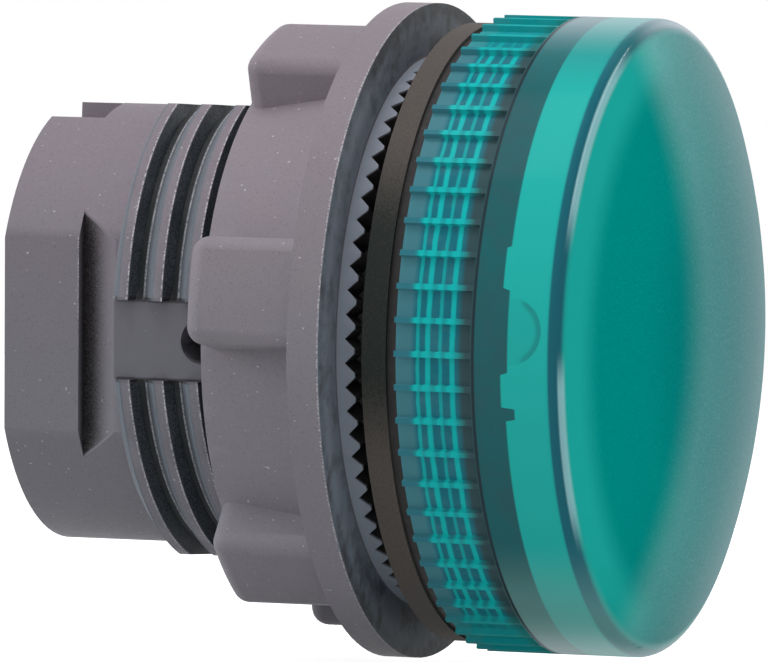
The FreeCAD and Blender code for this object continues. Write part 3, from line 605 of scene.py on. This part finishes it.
@dataclass(frozen=True)
class Rubber:
    """Nearly black rubber with a speckled grain, and painted light that makes it greyer towards its
    top and bottom.

    Its height and its darkest place are in millimetres.
    """

    name: str
    # painted light: the greyer tone of the top and bottom, and the rubber's own dark tone
    lit: Colour
    dark: Colour
    rough: float = 0.7
    height: float = 14.0
    darkest: float = 1.2
    grain: float = 0.09 * MM

    def material(self) -> bpy.types.Material:
        """Build the material.

        Returns:
            The finished material.
        """
        sheet = Sheet(self.name)
        dust_and_glint = sheet.noise(self.grain, 2.0)
        # painted light: greyer away from the darkest place, towards the top and bottom
        up = abs(sheet.place()[2] - self.darkest)
        tone = up.rise(0.2 * self.height, 0.55 * self.height) * 0.8 + (dust_and_glint - 0.5) * 0.9
        return sheet.finish(sheet.principled({
            "Base Color": sheet.blend(tone.limited(), self.dark, self.lit),
            "Roughness": self.rough + (dust_and_glint - 0.5) * 0.2,
            "Normal": sheet.bump(dust_and_glint, 0.02 * MM, 0.8),
            "Specular IOR Level": 0.12,
        }))


@dataclass(frozen=True)
class LensPlastic:
    """Tinted plastic that gives off painted light, though no lamp is lit inside it: bands on its
    side with painted light, highlights, reflections and shade, and a satin dome.

    Its places along the axis and its lengths are in millimetres and its turns in degrees. A step
    says where a mark begins and where it is full.
    """

    name: str
    skirt: Colour = shown(68, 122, 132)
    bed: Colour = shown(30, 108, 122)
    # painted light of the collar's ribs, top and bottom, and of its thread lines
    collar_light: Colour = shown(24, 176, 174)
    dark_band: Colour = shown(56, 80, 84)
    lip: Colour = shown(40, 54, 60)
    behind_sleeve: Colour = shown(36, 96, 100)
    # painted light where light passes through the side
    window_light: Colour = shown(36, 172, 164)
    # painted refraction of the dark inside along the rim
    rim: Colour = shown(34, 104, 118)
    # painted light at the dome's near edge
    dome_edge_light: Colour = shown(34, 188, 178)
    dome: Colour = shown(0, 158, 151)
    dome_middle: Colour = shown(0, 148, 144)
    # painted shade on the dome's far half
    dome_far_shade: Colour = shown(26, 106, 112)
    # painted highlight along the rounded rim
    rim_highlight: Colour = shown(170, 225, 228)
    haze: Colour = shown(232, 222, 230)
    # painted reflections at the side's top and bottom
    side_top_sheen: Colour = shown(56, 124, 128)
    side_low_sheen: Colour = shown(140, 190, 184)
    # strength of the painted light that the plastic gives off
    painted_glow: float = 0.21
    cloud_size: float = 1.3 * MM
    grain_size: float = 0.1 * MM
    radius: float = 14.5
    threads: tuple[tuple[float, float, float], ...] = (
        (2.69, 0.15, 0.75), (3.17, 0.22, 1.0), (3.76, 0.15, 0.65), (4.32, 0.22, 1.0))
    thread_wave: float = 0.12
    rib_turn: float = 2.0
    rib_step: float = 6.0
    rib_half: Step = (0.62, 0.4)
    rib_rear: Step = (2.3, 2.6)
    rib_front: Step = (5.1, 4.6)
    bed_along: Step = (2.3, 2.62)
    cloud_along: Step = (2.4, 2.7)
    dark_along: Step = (4.5, 4.8)
    collar_fade: Step = (13.7, 12.2)
    side_along: Step = (5.25, 5.35)
    lip_place: float = 5.38
    sleeve_edge: float = 6.9
    tab_low: Step = (-7.2, -6.6)
    tab_high: Step = (8.3, 7.7)
    notch_low: Step = (-13.2, -12.8)
    notch_high: Step = (15.8, 15.4)
    hook_turn: float = -14.1
    hook_half: Step = (1.3, 0.9)
    disc_place: float = 7.05
    disc_turn: float = 0.6
    disc_edge: Step = (1.56, 1.48)
    crescent_inside: Step = (1.15, 1.4)
    crescent_along: Step = (7.4, 7.9)
    rim_rear: Step = (8.84, 8.96)
    rim_front: Step = (9.52, 9.36)
    top_up: Step = (10.5, 13.8)
    low_up: Step = (-9.0, -13.5)
    dome_along: Step = (9.4, 9.6)
    edge_reach: Step = (11.6, 13.2)
    near_across: Step = (2.0, -7.0)
    middle_reach: Step = (9.0, 5.0)
    far_across: Step = (-9.0, 8.0)
    streak_place: float = 9.40
    streak_turns: tuple[tuple[Step, Step], ...] = (
        ((14.0, 26.0), (68.0, 52.0)), ((-44.0, -30.0), (-2.0, -10.0)))
    face_haze: Step = (0.53, 0.63)
    edge_haze: Step = (0.64, 0.98)
    side_haze: Step = (0.52, 0.88)
    side_haze_along: Step = (5.1, 5.6)

    def _line(self, value: Wire, place: float, width: float) -> Wire:
        """1 on a soft line with this middle and width, and 0 away from it."""
        return abs(value - place).rise(width * 0.75, width * 0.3)

    def _collar(self, sheet: Sheet, place: Wire, rib: Wire, cloud: Wire) -> Socket:
        """The ribbed collar, with the thread that shows through it as pale painted highlights, and
        painted light on its ribs' sides and towards its top and bottom.

        Args:
            sheet: The material.
            place: Place along the axis.
            rib: Degrees from the nearest rib.
            cloud: Slow noise.

        Returns:
            Its colour.
        """
        on_rib = rib.rise(*self.rib_half)
        colour = sheet.blend(on_rib * 0.6, self.skirt, self.bed)
        colour = sheet.blend(place.rise(*self.bed_along), colour, self.bed)
        clouds = cloud.rise(0.4, 0.75) * 0.5 * place.rise(*self.cloud_along)
        colour = sheet.blend(clouds, colour, self.skirt)
        colour = sheet.blend(place.rise(*self.dark_along), colour, self.dark_band)
        # painted light on the ribs' sides
        ribs = on_rib * place.rise(*self.rib_front) * place.rise(*self.rib_rear)
        colour = sheet.blend(ribs * 0.55, colour, self.collar_light)
        # painted light towards the collar's top and bottom
        fade = abs(sheet.place()[2]).rise(*self.collar_fade)
        colour = sheet.blend((1.0 - fade) * 0.45, colour, self.collar_light)
        # painted highlights: pale lines where the thread shows through, with dots on the ribs
        wavy = place + (cloud - 0.5) * self.thread_wave
        for middle, width, strength in self.threads:
            line = self._line(wavy, middle, width) * strength
            dot = self._line(wavy, middle, width * 1.9) * rib.rise(0.75, 0.35)
            colour = sheet.blend((line + dot * 0.8).limited() * fade, colour, self.collar_light)
        return colour

    def _side(self, sheet: Sheet, place: Wire, turn: Wire, cloud: Wire) -> Socket:
        """The smooth side, dark where the sleeve stands behind it and with painted light in front
        of that, a painted refraction of the dark inside along its rim and painted reflections at
        its top and bottom.

        Args:
            sheet: The material.
            place: Place along the axis.
            turn: Degrees around the axis.
            cloud: Slow noise.

        Returns:
            Its colour.
        """
        folded = turn.sine_of_degrees().arcsine_degrees()
        tab = folded.rise(*self.tab_low) * folded.rise(*self.tab_high)
        notch = folded.rise(*self.notch_low) * folded.rise(*self.notch_high) * (1.0 - tab)
        hook = abs(folded - self.hook_turn).rise(*self.hook_half)
        edge = self.sleeve_edge + tab * 0.12 - notch * 0.2 + hook * 0.42
        # painted light: the side in front of the sleeve's edge, where light passes through
        lit = (place - edge).rise(-0.05, 0.05)
        colour = sheet.blend(cloud.rise(0.3, 0.7) * 0.35, self.behind_sleeve, self.dark_band)
        colour = sheet.blend(lit, colour, self.window_light)
        disc_around = (folded - self.disc_turn) * math.radians(self.radius)
        disc = ((place - self.disc_place) ** 2.0 + disc_around ** 2.0).root()
        within = disc.rise(*self.disc_edge) * lit
        crescent = within * disc.rise(*self.crescent_inside) * place.rise(*self.crescent_along)
        colour = sheet.blend(crescent * 0.4 + within * 0.1, colour, self.behind_sleeve)
        # painted refraction of the dark inside along the rim
        rim = place.rise(*self.rim_rear) * place.rise(*self.rim_front)
        colour = sheet.blend(rim, colour, self.rim)
        # painted reflections towards the side's top and bottom
        up = sheet.place()[2]
        colour = sheet.blend(up.rise(*self.top_up) * 0.6, colour, self.side_top_sheen)
        colour = sheet.blend(up.rise(*self.low_up) * 0.5, colour, self.side_low_sheen)
        return sheet.blend(self._line(place, self.lip_place, 0.14), colour, self.lip)

    def _dome(self, sheet: Sheet, grain: Wire) -> Socket:
        """The satin front, with painted light at its near edge and painted shade on its far half.

        Args:
            sheet: The material.
            grain: Fine noise.

        Returns:
            Its colour.
        """
        across = sheet.place()[1]
        reach = sheet.reach()
        # painted light at the near edge
        near_edge = reach.rise(*self.edge_reach) * across.rise(*self.near_across)
        colour = sheet.blend(near_edge, self.dome, self.dome_edge_light)
        colour = sheet.blend(reach.rise(*self.middle_reach), colour, self.dome_middle)
        # painted shade on the far half
        colour = sheet.blend(across.rise(*self.far_across) * 0.75, colour, self.dome_far_shade)
        # grain: specks in the near edge's lighter colour
        return sheet.blend((grain - 0.5).rise(0.0, 0.3) * 0.35, colour, self.dome_edge_light)

    def _hazy(self, sheet: Sheet, place: Wire, on_dome: Wire, grain: Wire) -> Wire:
        """How much pale haze lies over the plastic where it is seen at a grazing angle.

        Args:
            sheet: The material.
            place: Place along the axis.
            on_dome: 1 on the dome, 0 on the side.
            grain: Fine noise.

        Returns:
            The share of the haze.
        """
        weight = sheet.node("ShaderNodeLayerWeight", inputs={"Blend": 0.5})
        facing = Wire(sheet, weight.outputs["Facing"])
        on_face = facing.rise(*self.face_haze) * (0.085 + (grain - 0.5) * 0.12)
        on_face = on_face + facing.rise(*self.edge_haze) * 0.11
        on_side = facing.rise(*self.side_haze) * 0.32 * place.rise(*self.side_haze_along)
        return on_dome * on_face + (1.0 - on_dome) * on_side

    def material(self) -> bpy.types.Material:
        """Build the material.

        Returns:
            The finished material.
        """
        sheet = Sheet(self.name)
        place = sheet.place()[0]
        turn = sheet.turn()
        cloud = sheet.noise(self.cloud_size, 3.0)
        grain = sheet.noise(self.grain_size, 2.0)
        ribs = (turn - self.rib_turn) * (1.0 / self.rib_step) + 0.5
        rib = abs(ribs.part() - 0.5) * self.rib_step
        collar = self._collar(sheet, place, rib, cloud)
        side = self._side(sheet, place, turn, cloud)
        on_dome = place.rise(*self.dome_along)
        colour = sheet.blend(place.rise(*self.side_along), collar, side)
        colour = sheet.blend(on_dome, colour, self._dome(sheet, grain))
        # painted highlight along the rounded rim's upper and lower parts
        upper, lower = (turn.rise(*start) * turn.rise(*end) for start, end in self.streak_turns)
        rim_highlight = self._line(place, self.streak_place, 0.2) * (upper + lower)
        colour = sheet.blend(rim_highlight * 0.7, colour, self.rim_highlight)
        smooth = place.rise(5.2, 5.5) * 0.24
        normal = sheet.bump(grain * on_dome, 0.012 * MM, 0.8)
        # the emission is painted light: the plastic gives off its own colour though no lamp is lit
        plastic = sheet.principled({
            "Base Color": colour,
            "Roughness": 0.4 - smooth + on_dome * 0.08 + (grain - 0.5) * 0.1,
            "IOR": 1.49,
            "Specular IOR Level": 0.0,
            "Coat Weight": 0.06 - on_dome * 0.06,
            "Coat Roughness": 0.12,
            "Emission Color": colour,
            "Emission Strength": self.painted_glow,
            "Normal": normal,
        })
        gloss = sheet.principled({
            "Base Color": self.haze,
            "Metallic": 1.0,
            "Roughness": 0.5,
            "Normal": normal,
        })
        return sheet.finish(sheet.mixed(self._hazy(sheet, place, on_dome, grain), plastic, gloss))


@dataclass(frozen=True)
class ClearGlass:
    """Thin clear glass of the lamp."""

    name: str
    tint: Colour = (0.96, 0.97, 0.97)

    def material(self) -> bpy.types.Material:
        """Build the material.

        Returns:
            The finished material.
        """
        sheet = Sheet(self.name)
        smear = sheet.noise(1.5 * MM, 2.0)
        glass = sheet.principled({
            "Base Color": self.tint,
            "Roughness": smear * 0.06,
            "Transmission Weight": 1.0,
            "IOR": 1.3,
        })
        lamp_ray = sheet.node("ShaderNodeLightPath").outputs["Is Shadow Ray"]
        through = sheet.node("ShaderNodeBsdfTransparent", inputs={"Color": self.tint}).outputs[0]
        return sheet.finish(sheet.mixed(Wire(sheet, lamp_ray), glass, through))


@dataclass(frozen=True)
class PlainMetal:
    """Pressed or drawn metal with faint marks."""

    name: str
    light: Colour
    dark: Colour
    rough: float = 0.3
    zone: Zone = Zone.EVEN

    def material(self) -> bpy.types.Material:
        """Build the material.

        Returns:
            The finished material.
        """
        sheet = Sheet(self.name)
        stretch = (0.2, 2.0, 2.0) if self.zone is Zone.TURNED else (1.0, 1.0, 1.0)
        marks = sheet.noise(0.25 * MM, 3.0, stretch)
        colour = sheet.blend(marks.rise(0.35, 0.7), self.light, self.dark)
        return sheet.finish(sheet.principled({
            "Base Color": colour,
            "Metallic": 1.0,
            "Roughness": self.rough + (marks - 0.5) * 0.3,
            "Normal": sheet.bump(marks, 0.006 * MM, 0.5),
        }))


# Each moulding's two colours are its painted top light tone and its painted low light tone; each
# rubber's are its painted lit tone and its own dark tone.
GREY_MOULDING = HousingMoulding("grey_moulding", shown(131, 123, 131), shown(124, 124, 131))
GREY_NUT = NutMoulding("grey_nut", shown(138, 130, 137), shown(134, 132, 139))
RING_RUBBER = Rubber("dark_rubber", shown(94, 88, 84), shown(33, 39, 36))
SEAL_RUBBER = Rubber("seal_rubber", shown(40, 42, 42), shown(16, 18, 18))
SLEEVE_PLASTIC = Moulding("dark_sleeve", shown(48, 54, 55), shown(34, 38, 40))
TEAL_LENS = LensPlastic("teal_lens")
BULB_GLASS = ClearGlass("bulb_glass")
TUNGSTEN = PlainMetal("tungsten", (0.36, 0.36, 0.37), (0.18, 0.18, 0.19), 0.35)
NICKEL = PlainMetal("nickel_brass", (0.72, 0.70, 0.64), (0.48, 0.46, 0.41), 0.28, Zone.TURNED)
SOLDER = PlainMetal("solder", (0.62, 0.63, 0.64), (0.40, 0.41, 0.43), 0.4)
BRASS = PlainMetal("plain_brass", (0.72, 0.54, 0.27), (0.64, 0.47, 0.22), 0.34)
SPRING_STEEL = PlainMetal("spring_steel", (0.56, 0.56, 0.57), (0.36, 0.36, 0.38), 0.3)
BLACK_INSULATOR = Moulding("black_insulator", shown(52, 52, 56), shown(34, 34, 38), 0.25, 0.5)
CREAM_INSULATOR = Moulding("cream_insulator", shown(214, 205, 184), shown(198, 188, 166), 0.5)


# Pieces


@dataclass
class Assembly:
    """A group of the part's solids that are dressed together."""

    frame: dict
    weld: float = 0.002 * MM
    bevel: float = 0.035 * MM

    def dress(self, node: str, finish: Finish, angle: float = 32.0, edge: float = 0.0,
              reshape: Callable[[bpy.types.Object], None] | None = None) -> bpy.types.Object:
        """Stand a smooth copy of a solid in its place and give it a finish.

        Args:
            node: The solid's name.
            finish: What the copy is made of.
            angle: Edges sharper than this, in degrees, stay sharp.
            edge: Width of the bevel on the sharp edges, in metres, or 0 for none.
            reshape: What is done to the copy before its edges are bevelled.

        Returns:
            The new piece.
        """
        source = self.frame["nodes"][node]
        body = source["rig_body"]
        bpy.ops.object.select_all(action="DESELECT")
        source.select_set(True)
        bpy.context.view_layer.objects.active = source
        bpy.ops.object.duplicate(linked=False)
        piece = bpy.context.view_layer.objects.active
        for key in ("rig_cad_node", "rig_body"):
            del piece[key]
        piece.parent = None
        piece.matrix_world = Matrix.Identity(4)
        piece.name = node + "_piece"
        bpy.ops.object.mode_set(mode="EDIT")
        bpy.ops.mesh.select_all(action="SELECT")
        bpy.ops.mesh.remove_doubles(threshold=self.weld)
        bpy.ops.object.mode_set(mode="OBJECT")
        bpy.ops.mesh.customdata_custom_splitnormals_clear()
        if reshape:
            reshape(piece)
        if edge:
            bpy.ops.object.modifier_add(type="BEVEL")
            bevel = piece.modifiers[-1]
            bevel.width, bevel.segments, bevel.angle_limit = edge, 2, math.radians(angle)
            bevel.use_clamp_overlap = True
            bpy.ops.object.modifier_apply(modifier=bevel.name)
        bpy.ops.object.shade_smooth_by_angle(angle=math.radians(angle))
        bpy.ops.object.modifier_add(type="WEIGHTED_NORMAL")
        piece.modifiers[-1].keep_sharp = True
        bpy.ops.object.modifier_apply(modifier=piece.modifiers[-1].name)
        piece.data.materials.clear()
        piece.data.materials.append(finish.material())
        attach(piece, body)
        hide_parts(node)
        LOG.info("%s: %d faces", piece.name, len(piece.data.polygons))
        return piece


@dataclass
class Body(Assembly):
    """Housing, gasket and light sleeve."""

    thread_shift: float = -0.75 * MM
    thread_end: float = -7.6 * MM
    barrel_front: float = -13.29 * MM
    barrel_margin: float = 0.1 * MM
    barrel_edge: float = 0.005 * MM
    tolerance: float = 0.001 * MM
    root: float = 10.25 * MM
    keyway_out: float = 8.0 * MM
    band_half: float = 1.79 * MM
    band_turn: float = -4.5
    band_top: float = 10.37 * MM
    band_depth: float = 0.5 * MM
    band_front: float = -1.6 * MM
    hole_place: float = -9.0 * MM
    hole_radius: float = 1.05 * MM
    drill_length: float = 4.0 * MM

    def _side(self, point: Vector) -> tuple[float, float]:
        """Where a point lies as seen along the keyway's direction.

        Args:
            point: Any point.

        Returns:
            Its distance from the axis along that direction, and beside it.
        """
        turn = math.radians(self.band_turn)
        out = -point.y * math.cos(turn) + point.z * math.sin(turn)
        beside = point.y * math.sin(turn) + point.z * math.cos(turn)
        return out, beside

    def _on_thread(self, point: Vector, rear: float, front: float) -> bool:
        """Whether a point lies on the thread between two places, and not in a keyway.

        Args:
            point: The point.
            rear: The rear place.
            front: The front place.

        Returns:
            True if it does.
        """
        outward = math.hypot(point.y, point.z) > self.root
        out, beside = self._side(point)
        in_keyway = abs(beside) < self.band_half and abs(out) > self.keyway_out
        return rear < point.x < front and outward and not in_keyway

    def _choose(self, piece: bpy.types.Object, rear: float, front: float) -> None:
        """Select the points of the thread between two places and go into edit mode.

        Args:
            piece: The housing.
            rear: The rear place.
            front: The front place.
        """
        bpy.ops.object.mode_set(mode="EDIT")
        bpy.ops.mesh.select_mode(type="VERT")
        bpy.ops.mesh.select_all(action="DESELECT")
        bpy.ops.object.mode_set(mode="OBJECT")
        for vertex in piece.data.vertices:
            vertex.select = self._on_thread(vertex.co, rear, front)
        bpy.ops.object.mode_set(mode="EDIT")

    def move_thread(self, piece: bpy.types.Object) -> None:
        """Move the thread back, with its rear end cut off level with the front of the barrel.

        Args:
            piece: The housing.
        """
        cut = self.barrel_front - self.thread_shift
        centre = (self.barrel_front, 0.0, 0.0)
        self._choose(piece, self.barrel_front - self.barrel_margin, self.thread_end)
        bpy.ops.mesh.bisect(plane_co=(cut, 0.0, 0.0), plane_no=(1.0, 0.0, 0.0))
        bpy.ops.object.mode_set(mode="OBJECT")
        self._choose(piece, self.barrel_front + self.barrel_edge, cut - self.tolerance)
        bpy.ops.transform.resize(value=(0.0, 1.0, 1.0), center_override=centre)
        bpy.ops.object.mode_set(mode="OBJECT")
        self._choose(piece, cut - self.tolerance, self.thread_end)
        bpy.ops.transform.translate(value=(self.thread_shift, 0.0, 0.0))
        bpy.ops.object.mode_set(mode="OBJECT")

    def _drill(self, band: bpy.types.Object) -> None:
        """Cut the key hole through a band.

        Args:
            band: The band, on the -Y side.
        """
        bpy.ops.mesh.primitive_cylinder_add(
            vertices=64, radius=self.hole_radius, depth=self.drill_length)
        drill = bpy.context.object
        drill.rotation_euler = (math.radians(90), 0.0, 0.0)
        drill.location = (self.hole_place, -self.band_top, 0.0)
        bpy.context.view_layer.objects.active = band
        cut = band.modifiers.new("hole", "BOOLEAN")
        cut.operation, cut.object, cut.solver = "DIFFERENCE", drill, "EXACT"
        bpy.ops.object.modifier_apply(modifier=cut.name)
        bpy.data.objects.remove(drill, do_unlink=True)

    def add_band(self, name: str, turn: float, housing: bpy.types.Object) -> None:
        """A flat band along a keyway that closes the thread's grooves, with the key hole in it.

        Args:
            name: The new piece's name.
            turn: Degrees around the axis.
            housing: The dressed housing, which the band is moulded with.
        """
        length = self.band_front - self.barrel_front
        middle = (self.band_front + self.barrel_front) / 2
        bpy.ops.object.select_all(action="DESELECT")
        bpy.ops.mesh.primitive_cube_add(size=1.0)
        band = bpy.context.object
        band.name = name
        bpy.ops.object.mode_set(mode="EDIT")
        bpy.ops.transform.resize(value=(length, self.band_depth, self.band_half * 2))
        bpy.ops.transform.translate(value=(middle, self.band_depth / 2 - self.band_top, 0.0))
        bpy.ops.object.mode_set(mode="OBJECT")
        self._drill(band)
        bpy.ops.object.select_all(action="DESELECT")
        band.select_set(True)
        bpy.ops.object.mode_set(mode="EDIT")
        bpy.ops.mesh.select_all(action="SELECT")
        bpy.ops.transform.rotate(
            value=math.radians(turn), orient_axis="X", center_override=(0.0, 0.0, 0.0))
        bpy.ops.mesh.normals_make_consistent(inside=False)
        bpy.ops.object.mode_set(mode="OBJECT")
        bpy.ops.object.shade_smooth_by_angle(angle=math.radians(30))
        band.data.materials.append(housing.data.materials[0])
        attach(band, "housing")
        LOG.info("%s: %d faces", band.name, len(band.data.polygons))

    def build(self) -> None:
        """Dress the fixed mouldings."""
        housing = self.dress("housing", GREY_MOULDING, edge=self.bevel, reshape=self.move_thread)
        self.add_band("key_band_near", self.band_turn, housing)
        self.add_band("key_band_far", self.band_turn + 180.0, housing)
        self.dress("panel_gasket", RING_RUBBER)
        self.dress("light_sleeve", SLEEVE_PLASTIC)


class Nut(Assembly):
    """The fixing nut behind the panel."""

    def build(self) -> None:
        """Dress the nut."""
        self.dress("fixing_nut", GREY_NUT, edge=self.bevel)


class Lens(Assembly):
    """The lens and its seal."""

    def build(self) -> None:
        """Dress the lens and its seal."""
        self.dress("lens_seal", SEAL_RUBBER)
        self.dress("lens_cap", TEAL_LENS)


class Lamp(Assembly):
    """The bayonet lamp and its holder."""

    finishes: ClassVar[dict[str, Finish]] = {
        "lamp_glass": BULB_GLASS,
        "lamp_filament": TUNGSTEN,
        "lamp_supports": TUNGSTEN,
        "lamp_cap": NICKEL,
        "lamp_insulator": BLACK_INSULATOR,
        "lamp_contact": SOLDER,
        "socket_shell": NICKEL,
        "holder_base": CREAM_INSULATOR,
        "contact_plunger": BRASS,
        "plunger_spring": SPRING_STEEL,
        "centre_terminal": BRASS,
        "shell_terminal": BRASS,
        "shell_rivet": BRASS,
        "centre_rivet": BRASS,
    }

    def build(self) -> None:
        """Give each solid its finish as it stands."""
        for node, finish in self.finishes.items():
            piece = self.frame["nodes"][node]
            piece.data.materials.clear()
            piece.data.materials.append(finish.material())
            LOG.info("%s: %d faces", node, len(piece.data.polygons))


# Studio


@dataclass(frozen=True)
class Softbox:
    """A square lamp that looks at the object."""

    name: str
    place: Place
    size: float
    power: float
    colour: Colour = (1.0, 1.0, 1.0)

    def build(self) -> None:
        """Add the lamp."""
        data = bpy.data.lights.new(self.name, "AREA")
        data.shape = "SQUARE"
        data.size = self.size
        data.energy = self.power
        data.color = self.colour
        lamp = bpy.data.objects.new(self.name, data)
        bpy.context.scene.collection.objects.link(lamp)
        lamp.location = self.place
        aim = Vector((0.0, 0.0, 0.0)) - Vector(self.place)
        lamp.rotation_euler = aim.to_track_quat("-Z", "Y").to_euler()


@dataclass(frozen=True)
class Strip:
    """A long narrow lamp between two places, which looks at the object."""

    name: str
    start: Place
    end: Place
    width: float
    power: float

    def build(self) -> None:
        """Add the lamp."""
        first, last = Vector(self.start), Vector(self.end)
        middle = (first + last) / 2
        along = (last - first).normalized()
        back = middle.normalized()
        up = back.cross(along).normalized()
        back = along.cross(up)
        data = bpy.data.lights.new(self.name, "AREA")
        data.shape = "RECTANGLE"
        data.size, data.size_y = (last - first).length, self.width
        data.energy = self.power
        lamp = bpy.data.objects.new(self.name, data)
        bpy.context.scene.collection.objects.link(lamp)
        lamp.visible_diffuse = False
        turned = Matrix((along, up, back)).transposed().to_4x4()
        lamp.matrix_world = Matrix.Translation(middle) @ turned


@dataclass
class Studio:
    """Floor, lamps, surroundings and camera."""

    floor_height: float = -15.3 * MM
    floor_size: float = 3.0
    floor_shade: float = 0.6
    floor_white: float = 0.88
    soft_light: float = 0.36
    seen_light: float = 1.0
    distance: float = 0.560
    azimuth: float = 19.57
    elevation: float = 0.30
    roll: float = 1.875
    pixels_per_metre: float = 21929.0
    aside: tuple[float, float] = (84.0, 0.7)
    frame_width: float = 768.0
    film_width: float = 36.0
    lamps: tuple[Softbox | Strip, ...] = (
        Softbox("key", (-0.50, -0.26, 0.20), 0.30, 1.2, (0.98, 0.97, 1.0)),
        Softbox("top", (-0.10, -0.16, 0.58), 0.40, 2.0, (1.0, 0.955, 0.975)),
        Softbox("low", (-0.16, -0.20, -0.55), 0.40, 3.3, (0.98, 0.98, 1.0)),
        Strip("rim_upper", (0.488, -0.113, 0.227), (0.213, 0.356, 0.360), 0.03, 3.0),
        Strip("rim_lower", (0.500, -0.190, -0.130), (0.368, 0.128, -0.388), 0.03, 2.2),
    )

    def build(self) -> None:
        """Make the whole studio."""
        for lamp in self.lamps:
            lamp.build()
        self._world()
        self._floor()
        self._camera()
        bpy.context.scene.view_settings.view_transform = "Standard"

    def _seen(self, tree: bpy.types.NodeTree) -> Socket:
        """Add nodes that tell the rays that see the background.

        Args:
            tree: The node tree of the world or the floor.

        Returns:
            A socket that is 1 for camera, mirror and glass rays.
        """
        path = tree.nodes.new("ShaderNodeLightPath")
        total = path.outputs["Is Camera Ray"]
        for name in ("Is Glossy Ray", "Is Transmission Ray"):
            node = tree.nodes.new("ShaderNodeMath")
            node.operation = "MAXIMUM"
            tree.links.new(total, node.inputs[0])
            tree.links.new(path.outputs[name], node.inputs[1])
            total = node.outputs[0]
        return total

    def _world(self) -> None:
        """White surroundings to the eye that light the object softly."""
        world = bpy.data.worlds.new("surroundings")
        bpy.context.scene.world = world
        world.use_nodes = True
        tree = world.node_tree
        tree.nodes.clear()
        output = tree.nodes.new("ShaderNodeOutputWorld")
        mix = tree.nodes.new("ShaderNodeMixShader")
        for index, strength in ((1, self.soft_light), (2, self.seen_light)):
            shade = tree.nodes.new("ShaderNodeBackground")
            shade.inputs["Color"].default_value = (1.0, 1.0, 1.0, 1.0)
            shade.inputs["Strength"].default_value = strength
            tree.links.new(shade.outputs[0], mix.inputs[index])
        tree.links.new(self._seen(tree), mix.inputs[0])
        tree.links.new(mix.outputs[0], output.inputs["Surface"])

    def _floor(self) -> None:
        """A pale plain floor under the object."""
        bpy.ops.object.select_all(action="DESELECT")
        place = (0.0, 0.0, self.floor_height)
        bpy.ops.mesh.primitive_plane_add(size=self.floor_size, location=place)
        floor = bpy.context.object
        floor.name = "floor"
        sheet = Sheet("floor")
        shade = (self.floor_shade,) * 3
        pale = sheet.node("ShaderNodeBsdfDiffuse", inputs={"Color": shade}).outputs[0]
        inputs = {"Color": (1.0, 1.0, 1.0), "Strength": self.floor_white}
        white = sheet.node("ShaderNodeEmission", inputs=inputs).outputs[0]
        lit = sheet.node("ShaderNodeAddShader", inputs={0: pale, 1: white}).outputs[0]
        seen = Wire(sheet, self._seen(sheet.tree))
        floor.data.materials.append(sheet.finish(sheet.mixed(seen, pale, lit)))

    def _camera(self) -> None:
        """A long lens at the photograph's angle."""
        around, above = math.radians(self.azimuth), math.radians(self.elevation)
        back = Vector((
            math.sin(around) * math.cos(above),
            -math.cos(around) * math.cos(above),
            math.sin(above),
        ))
        right = (-back).cross(Vector((0.0, 0.0, 1.0))).normalized()
        up = right.cross(-back).normalized()
        roll = math.radians(self.roll)
        right, up = (
            right * math.cos(roll) + up * math.sin(roll),
            up * math.cos(roll) - right * math.sin(roll),
        )
        place = back * self.distance
        beside, above_middle = (pixels / self.pixels_per_metre for pixels in self.aside)
        target = up * above_middle - right * beside
        backward = (place - target).normalized()
        right = up.cross(backward).normalized()
        up = backward.cross(right)
        data = bpy.data.cameras.new("camera")
        data.sensor_width = self.film_width
        data.lens = self.pixels_per_metre * self.distance / self.frame_width * self.film_width
        data.clip_start, data.clip_end = 0.01, 20.0
        camera = bpy.data.objects.new("camera", data)
        bpy.context.scene.collection.objects.link(camera)
        camera.matrix_world = Matrix((
            (right.x, up.x, backward.x, place.x),
            (right.y, up.y, backward.y, place.y),
            (right.z, up.z, backward.z, place.z),
            (0.0, 0.0, 0.0, 1.0),
        ))
        bpy.context.scene.camera = camera


def main() -> None:
    """Dress the frame piece by piece and set up the studio."""
    logging.basicConfig(level=logging.INFO, format="%(message)s")
    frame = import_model()
    for group in (Body, Nut, Lens, Lamp):
        group(frame).build()
        LOG.info("%s done", group.__name__)
    Studio().build()


if __name__ == "__main__":
    main()
